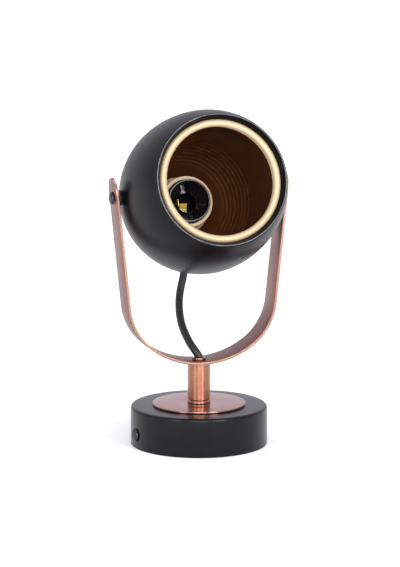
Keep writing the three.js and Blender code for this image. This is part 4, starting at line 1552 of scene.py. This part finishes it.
@dataclass
class StemStack(Assembly):
    """The copper disc, foot ring, stem and hollow bolt on the light's axis. Sizes in millimetres."""

    body: ClassVar[Body] = Body.BASE
    disc_radius: float = 34.0
    disc_base: float = 28.7
    disc_thickness: float = 1.6
    stem_radius: float = 8.4
    bore: float = 4.55
    foot_base: float = 30.5
    foot_height: float = 2.0
    stem_base: float = 32.7
    stem_length: float = 27.4
    stem_edge: float = 0.5
    bolt_bore: float = 3.4
    bolt_shank: float = 4.2
    bolt_head: float = 4.9
    bolt_head_base: float = 62.3
    bolt_head_height: float = 1.6
    bolt_end: float = 20.6
    washer_radius: float = 8.0
    washer_base: float = 26.3
    washer_height: float = 1.0
    nut_base: float = 22.1
    nut_width: float = 13.0
    nut_height: float = 4.0
    grip_base: float = 15.4
    grip_height: float = 5.0
    grip_radius: float = 5.6
    grip_bore: float = 3.2
    grip_screw_radius: float = 1.4
    grip_screw_length: float = 2.2
    cable_radius: float = 2.85
    sheath_end: float = 14.4
    sheath_top: float = 62.7
    screw_gap: float = 0.3

    def build_turned(self) -> None:
        """Turns the disc, the foot ring and stem with a groove between them, and the hollow bolt."""
        bore, radius, edge = self.bore, self.stem_radius, self.stem_edge
        base, thickness = self.disc_base, self.disc_thickness
        disc = flat_ring("copper_disc", self.disc_radius, bore, base, thickness, ease=0.4)
        self.dress(disc, COPPER_DISC, "base_disc")
        base, top = self.foot_base, self.foot_base + self.foot_height
        foot = [(bore, base), (radius, base), (radius, top - edge), (radius - edge, top), (bore, top)]
        low, end = self.stem_base, self.stem_base + self.stem_length
        stem = [(bore, low), (radius - edge, low), (radius, low + edge), (radius, end), (bore, end)]
        head, head_top = self.bolt_head_base, self.bolt_head_base + self.bolt_head_height
        bolt = [
            (self.bolt_bore, self.bolt_end),
            (self.bolt_shank, self.bolt_end),
            (self.bolt_shank, head),
            (self.bolt_head, head),
            (self.bolt_head, head_top),
            (self.bolt_bore, head_top),
        ]
        rows = (
            ("copper_foot_ring", foot, 0.2, 128, "stem_foot_ring"),
            ("copper_stem", stem, 0.22, 128, "stem"),
            ("copper_hollow_bolt", bolt, 0.35, 96, "hollow_bolt"),
        )
        for name, profile, ease, sides, node in rows:
            self.dress(turn(name, eased(profile, ease), sides), COPPER_TURNED, node)

    def build_fasteners(self) -> None:
        """Models the bolt's washer and nut."""
        base, height = self.washer_base, self.washer_height
        washer = flat_ring("bolt_seat_washer", self.washer_radius, self.bore, base, height, ease=0.2)
        self.dress(washer, ZINC, "bolt_washer")
        nut = hex_nut("bolt_hex_nut", self.nut_width, self.nut_height, self.bore)
        self.dress(nut, ZINC, "bolt_nut", at(0, 0, self.nut_base))

    def build_cord_grip(self) -> None:
        """Models the cord grip, its screw and the cable's length inside the stem."""
        base, height, outer = self.grip_base, self.grip_height, self.grip_radius
        screw_radius, screw_length = self.grip_screw_radius, self.grip_screw_length
        grip = flat_ring("cord_grip_body", outer, self.grip_bore, base, height, ease=0.4)
        lying = at(0, 0, base + height / 2) @ Matrix.Rotation(QUARTER_TURN, 4, "X")
        cut(grip, drill(screw_radius + CLEARANCE, 0.0, outer + CUT_OVERRUN, lying))
        self.dress(grip, WHITE_PLASTIC, "cord_grip")
        screw = grub_screw("cord_grip_grub", screw_radius, screw_length)
        self.dress(screw, ZINC, "cord_grip_screw", lying @ at(0, 0, self.cable_radius + self.screw_gap))
        inside = [Vector((0, 0, height)) * MM for height in (self.sheath_end, self.sheath_top)]
        sheath = draw_tube("stem_cable_sheath", inside, self.cable_radius, roundness=6)
        self.dress(sheath, RUBBER, "stem_cable")

    def build(self) -> None:
        """Builds the whole stack."""
        self.build_turned()
        self.build_fasteners()
        self.build_cord_grip()


@dataclass
class Strap(Assembly):
    """The U-shaped copper strap with its pivots. Sizes in millimetres, to its outer face."""

    body: ClassVar[Body] = Body.BRACKET
    width: float = 23.5
    thickness: float = 1.7
    base: float = 60.3
    bottom_radius: float = 64.6
    bottom_angle: float = 35.8
    corner_radius: float = 43.7
    arm_angle: float = 84.15
    tip_above_pivot: float = 14.6
    bolt_hole: float = 4.55
    spacer_radius: float = 5.8
    spacer_start: float = 58.5
    shank_end: float = 51.82
    gap: float = 0.2
    edge: float = 0.28
    edge_share: float = 0.3
    bottom_steps: int = 16
    corner_steps: int = 24
    arm_steps: int = 6
    tip_share: float = 0.55

    @property
    def tip(self) -> float:
        """Returns the height of the arms' tips."""
        return PIVOT_HEIGHT + self.tip_above_pivot

    def is_edge(self, _: Vector, normal: Vector) -> bool:
        """Tells by its normal whether a face belongs to the strip's narrow edges."""
        return abs(normal.y) > self.edge_share

    def is_at_tip(self, point: bmesh.types.BMVert) -> bool:
        """Tells whether a point of the open strip is at an arm's tip."""
        return abs(point.co.z - self.tip * MM) < MERGE_DISTANCE

    def corner_middle(self) -> Pair:
        """Finds the middle of a corner's bend.

        Returns:
            How far out along X it is, and its height.
        """
        lean = math.radians(self.bottom_angle)
        reach = self.bottom_radius - self.corner_radius
        return reach * math.sin(lean), self.base + self.bottom_radius - reach * math.cos(lean)

    def arm_place(self, height: float, offset: float = 0.0) -> float:
        """Tells how far out an arm's face is.

        Args:
            height: The height.
            offset: How far inside the outer face.

        Returns:
            The distance from the middle.
        """
        lean = math.radians(self.arm_angle)
        out, up = self.corner_middle()
        radius = self.corner_radius - offset
        start_out, start_up = out + radius * math.sin(lean), up - radius * math.cos(lean)
        return start_out + (height - start_up) / math.tan(lean)

    def half_line(self) -> Profile:
        """Draws the right half of the outer face.

        Returns:
            Its line from the lowest point to the tip.
        """
        points = []
        for step in range(self.bottom_steps + 1):
            angle = math.radians(self.bottom_angle * step / self.bottom_steps)
            height = self.base + self.bottom_radius * (1 - math.cos(angle))
            points.append((self.bottom_radius * math.sin(angle), height))
        out, up = self.corner_middle()
        bend = self.arm_angle - self.bottom_angle
        for step in range(1, self.corner_steps + 1):
            angle = math.radians(self.bottom_angle + bend * step / self.corner_steps)
            reach = self.corner_radius
            points.append((out + reach * math.sin(angle), up - reach * math.cos(angle)))
        start, straight_end = points[-1][1], self.tip - self.width * self.tip_share
        for step in range(1, self.arm_steps + 1):
            height = start + (straight_end - start) * step / self.arm_steps
            points.append((self.arm_place(height), height))
        points.append((self.arm_place(self.tip), self.tip))
        return points

    def build_strap(self) -> None:
        """Draws the strap's line, widens it, rounds its tips, thickens it and drills it."""
        right = self.half_line()
        line = [(-out, up) for out, up in reversed(right[1:])] + right
        strap = draw_strip("copper_strap", line, self.width)
        soften_chosen(strap, self.is_at_tip, self.width / 2, segments=16, affect="VERTICES")
        thicken(strap, self.thickness)
        reach = 2 * self.arm_place(PIVOT_HEIGHT)
        pivot_hole = PIVOT_SCREW.shank_radius + CLEARANCE
        cut(strap, drill(pivot_hole, -reach, reach, PIVOT_PLACE @ LYING))
        low, high = self.base - CUT_OVERRUN, self.base + 2 * CUT_OVERRUN
        cut(strap, drill(self.bolt_hole, low, high, sides=64))
        soften(strap, self.edge, segments=3, sharpest=40)
        # Narrow edges take the brighter copper as painted highlight, wide faces the darker copper as
        # painted shade.
        self.paint_faces(strap, COPPER_FACE_PAINTED_SHADE, COPPER_EDGE_PAINTED_HIGHLIGHT, self.is_edge)
        self.dress(strap, COPPER_FACE_PAINTED_SHADE, "strap")

    def build_spacers(self) -> None:
        """Turns a spacer, trims it to the leaning arm and copies it to the left."""
        lean = math.radians(self.arm_angle)
        face = self.arm_place(PIVOT_HEIGHT, self.thickness + self.gap)
        length = face + self.spacer_radius - self.spacer_start
        bore = PIVOT_SCREW.shank_radius + CLEARANCE
        ring = flat_ring("pivot_spacer", self.spacer_radius, bore, 0.0, length, ease=0.3)
        place(ring, at(self.spacer_start, 0, PIVOT_HEIGHT) @ LYING)
        open_mesh(ring)
        bpy.ops.mesh.bisect(
            plane_co=Vector((face, 0, PIVOT_HEIGHT)) * MM,
            plane_no=(math.sin(lean), 0, -math.cos(lean)),
            use_fill=True,
            clear_outer=True,
        )
        close_mesh()
        places = {"right": HERE, "left": Matrix.Rotation(HALF_TURN, 4, "Z")}
        self.dress_pair(ring, SPACER_PLASTIC, "spacer", places)

    def build_pivot_screws(self) -> None:
        """Models one pivot screw and copies it to the other arm."""
        lean = math.radians(90 - self.arm_angle)
        seat = self.arm_place(PIVOT_HEIGHT) + PIVOT_SCREW.head_radius * math.tan(lean) + self.gap
        screw = PIVOT_SCREW.model("pivot_head_screw", seat - self.shank_end)
        self.dress_pair(screw, BLACK_SCREW, "pivot_screw", both_sides(seat, PIVOT_HEIGHT))

    def build(self) -> None:
        """Builds the strap and its pivots."""
        self.build_strap()
        self.build_spacers()
        self.build_pivot_screws()


@dataclass
class Shade(Assembly):
    """The shade, drawn about its mouth axis from the pivots. Sizes in millimetres."""

    body: ClassVar[Body] = Body.SHADE
    seat: ClassVar[Matrix] = SHADE_PLACE
    radius: float = 58.4
    wall: float = 0.9
    widest: float = 6.2
    rear: float = 74.7
    front: float = 98.9
    rim: float = 63.6
    rim_roll: float = 1.1
    rim_bead: float = 0.45
    lip_radius: float = 44.6
    lip_depth: float = 3.6
    lip_thickness: float = 0.9
    lip_ease: float = 0.25
    pivot_hole: float = 2.35
    rear_hole: float = 2.25
    exit_hole: float = 4.45
    exit_behind: float = 50.0
    liner_radius: float = 50.4
    liner_wall: float = 0.8
    liner_rear: float = 70.0
    liner_front: float = 95.0
    liner_hole: float = 21.0
    bead_radius: float = 2.6
    bead_middle: Pair = (41.7, 58.05)
    groove_radius: float = 40.5
    ridge_middle: Pair = (40.0, 54.6)
    ridge_radius: float = 0.5
    ridge_behind: float = 0.9
    groove_start: float = 0.5
    groove_end: float = 0.2
    painted_shade_end: float = 53.9
    rib_count: int = 8
    rib_steps: int = 6
    rib_depth: float = 0.6
    rib_first: float = 31.0
    rib_last: float = 46.0
    grommet_bore: float = 3.2
    grommet_neck: float = 4.1
    grommet_flange: float = 5.4
    grommet_levels: tuple[float, ...] = (-2.55, -1.75, 0.3, 1.6)
    sides: int = 160

    def exit_place(self) -> Matrix:
        """Finds the cable's exit.

        Returns:
            Its place from the seat, its Z pointing straight out of the shade.
        """
        behind = self.exit_behind + self.widest
        below = self.radius * math.sqrt(1 - (behind / self.rear) ** 2)
        slope = math.atan2(below / self.radius**2, behind / self.rear**2)
        return at(0, -below, -self.exit_behind) @ Matrix.Rotation(HALF_TURN - slope, 4, "X")

    def rise(self, height: float, reach: float) -> float:
        """Returns the angle in degrees at which an ellipse with this reach comes to a height."""
        return math.degrees(math.asin((height - self.widest) / reach))

    @staticmethod
    def fall(radius: float, widest: float) -> float:
        """Returns the angle in degrees at which an ellipse narrows to a radius behind its widest place."""
        return -math.degrees(math.acos(radius / widest))

    def shell_profile(self) -> Profile:
        """Draws the shell's outline.

        Returns:
            It, from the rear pole outside, round the rim, to the inner pole.
        """
        rim_radius = self.radius * math.sqrt(1 - ((self.rim - self.widest) / self.front) ** 2)
        rim_angle = self.rise(self.rim - self.rim_roll, self.front)
        lip = self.rim - self.lip_depth
        lip_back = lip - self.lip_thickness
        outer_sizes = (self.radius, self.front, self.rear)
        inner, inner_front, inner_rear = (size - self.wall for size in outer_sizes)
        bead = arc((rim_radius - self.rim_bead, self.rim - self.rim_bead), self.rim_bead, -40, 155, 8)
        outside = [
            *ellipse(self.radius, self.widest, self.rear, -90, 0, 44),
            *ellipse(self.radius, self.widest, self.front, 0, rim_angle, 26)[1:],
        ]
        inside = [
            *ellipse(inner, self.widest, inner_front, self.rise(lip_back, inner_front), 0, 16),
            *ellipse(inner, self.widest, inner_rear, 0, -90, 28)[1:],
        ]
        corners = [bead[-1], (self.lip_radius, lip), (self.lip_radius, lip_back), inside[0]]
        lip_line = eased(corners, self.lip_ease, closed=False)[1:-1]
        poles = [(0.0, side[1]) for side in (outside[0], inside[-1])]
        return [poles[0], *outside[1:], *bead, *lip_line, *inside[:-1], poles[1]]

    def build_shell(self) -> None:
        """Turns the shell and drills it for pivots, rear screw and cable."""
        shell = turn("shade_shell", self.shell_profile(), self.sides, closed=False)
        reach, back = self.radius + CUT_OVERRUN, self.widest - self.rear
        cut(shell, drill(self.pivot_hole, -reach, reach, LYING))
        cut(shell, drill(self.rear_hole, back - CUT_OVERRUN, back + CUT_OVERRUN))
        # The rolled rim's faces take the pale rim finish, a painted highlight.
        rim_start = (self.rim - 2 * self.rim_bead) * MM
        self.paint_faces(shell, SHADE_PAINT, RIM_PAINTED_HIGHLIGHT, lambda middle, _: middle.z > rim_start)
        place(shell, self.seat)
        cut(shell, drill(self.exit_hole, -CUT_OVERRUN, CUT_OVERRUN, self.seat @ self.exit_place()))
        self.finish_piece(shell, SHADE_PAINT, "shade")

    def ribs(self, inner: float, first: float, last: float) -> Profile:
        """Draws the liner's fine ribs.

        Args:
            inner: The liner's inner radius at its widest.
            first: The angle of the rearmost rib in degrees.
            last: The angle of the foremost rib.

        Returns:
            The ribs' outline, from the foremost one to the rearmost.
        """
        steps = self.rib_steps * self.rib_count
        made = []
        for index, (radius, height) in enumerate(
            ellipse(inner, self.widest, self.liner_rear, last, first, steps)
        ):
            wave = (0.5 + 0.5 * math.cos(FULL_TURN * index / self.rib_steps)) ** 2
            made.append((radius + self.rib_depth * (1 - wave), height))
        return made

    def liner_profile(self) -> Profile:
        """Draws the reflector's outline.

        Returns:
            It, outside from the hole, round the bead, and back inside.
        """
        inner, outer = self.liner_radius, self.liner_radius + self.liner_wall
        outer_rear, outer_front = self.liner_rear + self.liner_wall, self.liner_front + self.liner_wall
        first, last = self.fall(self.rib_first, inner), self.fall(self.rib_last, inner)
        hole = self.fall(self.liner_hole, inner)
        bead_foot = self.rise(self.bead_middle[1] - self.bead_radius, outer_front)
        front_angle = self.rise(self.ridge_middle[1] - self.ridge_behind, self.liner_front)
        ridge = arc(self.ridge_middle, self.ridge_radius, 60, 270, 8)
        bead = arc(self.bead_middle, self.bead_radius, -75, 215, 36)
        return [
            *ellipse(outer, self.widest, outer_rear, self.fall(self.liner_hole, outer), 0, 22),
            *ellipse(outer, self.widest, outer_front, 0, bead_foot, 12)[1:-1],
            *bead,
            (self.groove_radius, bead[-1][1] - self.groove_start),
            (self.groove_radius, ridge[0][1] + self.groove_end),
            *ridge,
            *ellipse(inner, self.widest, self.liner_front, front_angle, 0, 20),
            *ellipse(inner, self.widest, self.liner_rear, 0, last, 8)[1:-1],
            *self.ribs(inner, first, last),
            *ellipse(inner, self.widest, self.liner_rear, first, hole, 6)[1:],
        ]

    def build_reflector(self) -> None:
        """Turns the reflector: a gold liner, painted dark brown as shade behind its bright rolled bead."""
        liner = turn("gold_reflector", self.liner_profile(), self.sides)
        # Faces behind the bead take the dark painted shade; the bead keeps the gold.
        self.paint_faces(liner, GOLD_LINER_PAINTED_SHADE, GOLD_BEAD, lambda middle, _: middle.z > self.painted_shade_end * MM)
        self.dress(liner, GOLD_LINER_PAINTED_SHADE, "reflector")

    def build_grommet(self) -> None:
        """Turns the rubber grommet in the cable's exit."""
        inner_end, neck_end, neck_top, top = self.grommet_levels
        bore, neck, flange = self.grommet_bore, self.grommet_neck, self.grommet_flange
        profile = [(bore, inner_end), (flange, inner_end), (flange, neck_end), (neck, neck_end)]
        profile += [(neck, neck_top), (flange, neck_top), (flange, top), (bore, top)]
        grommet = turn("exit_grommet", eased(profile, ease=0.35), sides=72)
        self.dress(grommet, RUBBER, "cable_grommet", self.exit_place())

    def build(self) -> None:
        """Builds the shade's shell, reflector and grommet."""
        self.build_shell()
        self.build_reflector()
        self.build_grommet()


@dataclass
class LampSocket(Assembly):
    """The lampholder with its collar, contacts and fixings, on the mouth axis. In millimetres."""

    body: ClassVar[Body] = Body.SHADE
    seat: ClassVar[Matrix] = SHADE_PLACE
    mouth: float = -26.0
    skirt_radius: float = 15.8
    skirt_length: float = 12.0
    body_radius: float = 14.2
    length: float = 33.0
    wall: float = 1.2
    funnel_depth: float = 9.0
    bore: float = 7.3
    bore_depth: float = 21.0
    slot_width: float = 5.0
    slot_depth: float = 3.0
    slot_reach: float = 26.8
    slot_turn: float = 12.0
    collar_radius: float = 19.0
    collar_wall: float = 1.0
    collar_gap: float = 0.7
    collar_face: float = -31.5
    collar_flange: float = 22.0
    collar_base: float = -56.48
    contact_width: float = 5.4
    contact_reach: float = 0.6
    contact_thickness: float = 0.5
    contact_rise: float = 3.0
    contact_length: float = 12.0
    gap: float = 0.3
    rivet_place: float = 4.9
    rivet_radius: float = 1.2
    rivet_height: float = 0.8
    screw_place: float = 5.0
    screw_hole: float = 1.65
    screw_depth: float = 6.0
    bracket_face: float = -59.3
    bracket_foot: float = -66.7
    bracket_thickness: float = 1.2
    bracket_length: float = 18.0
    bracket_width: float = 9.0
    rear_face: float = -68.8
    rear_hole: float = 2.25
    rear_gap: float = 0.4
    pivot_hole: float = 2.35
    washer_radius: float = 4.5
    washer_base: float = 55.72
    washer_height: float = 0.8
    nut_base: float = 52.22
    nut_height: float = 3.2
    nut_width: float = 7.0
    core_offset: float = 1.4

    def build_collar(self) -> None:
        """Turns the gold collar round the lampholder."""
        hollow, mouth = self.collar_radius - self.collar_wall, self.skirt_radius + self.collar_gap
        base, face, outer = self.collar_base, self.collar_face, self.collar_radius
        back, foot = face - self.collar_wall, base + self.collar_wall
        profile = [(hollow, base), (self.collar_flange, base), (self.collar_flange, foot), (outer, foot)]
        profile += [(outer, face), (mouth, face), (mouth, back), (hollow, back)]
        collar = turn("gold_holder_collar", eased(profile, ease=0.4), sides=128)
        self.dress(collar, GOLD_COLLAR_PAINTED_LIGHT, "holder_collar")

    def build_holder(self) -> None:
        """Turns the lampholder, cuts the slots in its funnel and paints its floor darker and dull as
        painted shade.
        """
        mouth = self.mouth
        back, skirt_end = mouth - self.length, mouth - self.skirt_length
        funnel_end, floor = mouth - self.funnel_depth, mouth - self.bore_depth
        mouth_radius = self.skirt_radius - self.wall
        outline = [
            (0.0, back),
            (self.body_radius, back),
            (self.body_radius, skirt_end),
            (self.skirt_radius, skirt_end),
            (self.skirt_radius, mouth),
            (mouth_radius, mouth),
            (mouth_radius - self.wall / 2, mouth - self.funnel_depth / 3),
            (self.bore, funnel_end),
            (self.bore, floor),
            (0.0, floor),
        ]
        softened = eased(outline, ease=0.4, closed=False)
        holder = turn("black_lampholder", softened, sides=128, closed=False)
        low, high = funnel_end - self.slot_depth, mouth + CUT_OVERRUN
        slot = slab("slot_tool", (self.slot_width, self.slot_reach, high - low), (0, 0, (high + low) / 2))
        cut(holder, place(slot, Matrix.Rotation(math.radians(self.slot_turn), 4, "Z")))
        for side in (-1, 1):
            spot = at(side * self.screw_place, 0, 0)
            cut(holder, drill(self.screw_hole, back - CUT_OVERRUN, back + self.screw_depth, spot))
        soften(holder, width=0.15, sharpest=50)
        # The floor faces take the darker, dull copy as painted shade.
        self.paint_faces(
            holder,
            BLACK_PLASTIC,
            HOLDER_FLOOR_PAINTED_SHADE,
            lambda middle, normal: back < middle.z / MM < floor + self.wall and normal.z > 0.5,
        )
        self.dress(holder, BLACK_PLASTIC, "lampholder")

    def build_contacts(self) -> None:
        """Bends the centre contact, cuts the side contact, and turns the rivet."""
        floor, sheet, width = self.mouth - self.bore_depth, self.contact_thickness, self.contact_width
        low = floor + self.gap
        bend = -self.rivet_place + self.rivet_radius + sheet
        line = [(-self.rivet_place - self.rivet_radius, low), (bend, low)]
        centre = draw_strip(
            "brass_centre_contact", [*line, (self.contact_reach, low + self.contact_rise)], width
        )
        thicken(centre, sheet)
        soften(centre, width=0.12, sharpest=50)
        # The centre contact takes the paler brass as painted light.
        self.dress(centre, BRASS_CONTACT_PAINTED_LIGHT, "centre_contact", Matrix.Rotation(QUARTER_TURN, 4, "Z"))
        out = math.sqrt(self.bore**2 - (width / 2) ** 2) - self.gap
        middle = (-out + sheet / 2, 0, low + self.contact_length / 2)
        side = slab("brass_side_contact", (sheet, width, self.contact_length), middle)
        soften(side, width=0.15, segments=3)
        self.dress(side, BRASS, "side_contact")
        base, rim = floor + sheet + 2 * self.gap, 0.2
        top = base + self.rivet_height
        dome = ellipse(self.rivet_radius, base + rim, self.rivet_height - rim, 0, 90, 8)[:-1]
        rivet = turn("contact_rivet_head", [(0.0, base), *dome, (0.0, top)], 40, closed=False)
        self.dress(rivet, ZINC, "contact_rivet", at(0, -self.rivet_place, 0))

    def build_bracket(self) -> None:
        """Folds the bracket behind the lampholder and sets its screws."""
        half, face, foot = self.bracket_length / 2, self.bracket_face, self.bracket_foot
        back = face - self.bracket_thickness
        line = [(-half, foot), (-half, face), (half, face), (half, foot)]
        strip = draw_strip("holder_bracket_fold", line, self.bracket_width)
        thicken(strip, self.bracket_thickness, sense=1)
        out, hole = self.screw_place, self.screw_hole
        for spot, radius in ((0.0, self.rear_hole), (-out, hole), (out, hole)):
            cut(strip, drill(radius, back - CUT_OVERRUN, face + CUT_OVERRUN, at(spot, 0, 0)))
        soften(strip, width=0.15)
        self.dress(strip, ZINC, "holder_bracket")
        screw = HOLDER_SCREW.model("holder_fixing", self.screw_depth)
        spots = {"right": out, "left": -out}
        places = {side: at(spot, 0, back - self.gap) @ BACKWARDS for side, spot in spots.items()}
        self.dress_pair(screw, ZINC, "holder_screw", places)
        rear = FIXING_SCREW.model("shade_rear_screw", face - self.rear_gap - self.rear_face)
        self.dress(rear, BLACK_SCREW, "rear_screw", at(0, 0, self.rear_face) @ BACKWARDS)

    def build_pivot_nuts(self) -> None:
        """Models one pivot washer and nut and copies them to the other side."""
        radius, hole, base = self.washer_radius, self.pivot_hole, self.washer_base
        washer = flat_ring("pivot_seat_washer", radius, hole, base, self.washer_height, ease=0.15)
        nut = hex_nut("pivot_hex_nut", self.nut_width, self.nut_height, hole)
        place(nut, at(0, 0, self.nut_base))
        self.dress_pair(washer, ZINC, "pivot_washer", both_sides(0.0))
        self.dress_pair(nut, ZINC, "pivot_nut", both_sides(0.0))

    def build_cores(self) -> None:
        """Draws the two cores from the grommet to the lampholder."""
        route = (
            (48.07, 36.31), (47.67, 35.71), (48.1, 34.82), (49.1, 33.9), (50.4, 32.9), (54.4, 28.95),
            (57.79, 25), (60.88, 20.5), (61.8, 16), (62, 13), (60.8, 11.6), (59.3, 11.4),
        )
        rows = {"live": -self.core_offset, "neutral": self.core_offset}
        routes = {kind: [(row, -below, -behind) for behind, below in route] for kind, row in rows.items()}
        self.draw_cores("shade_core", "holder_core", 4, routes)

    def build(self) -> None:
        """Builds the lampholder and all that holds it."""
        self.build_collar()
        self.build_holder()
        self.build_contacts()
        self.build_bracket()
        self.build_pivot_nuts()
        self.build_cores()


def write_sizes() -> None:
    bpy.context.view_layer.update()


def main() -> None:
    """Builds the view, the cable, the light's sub-assemblies and the studio, in that order."""
    logging.basicConfig(level=logging.INFO, format="%(message)s")
    Viewpoint().set_up()
    palette = Palette()
    for assembly in (FreeCable, Canopy, StemStack, Strap, Shade, LampSocket):
        log.info("building %s", assembly.__name__)
        assembly(palette).build()
    Studio().set_up()
    write_sizes()
    log.info("the light is dressed")


if __name__ == "__main__":
    main()
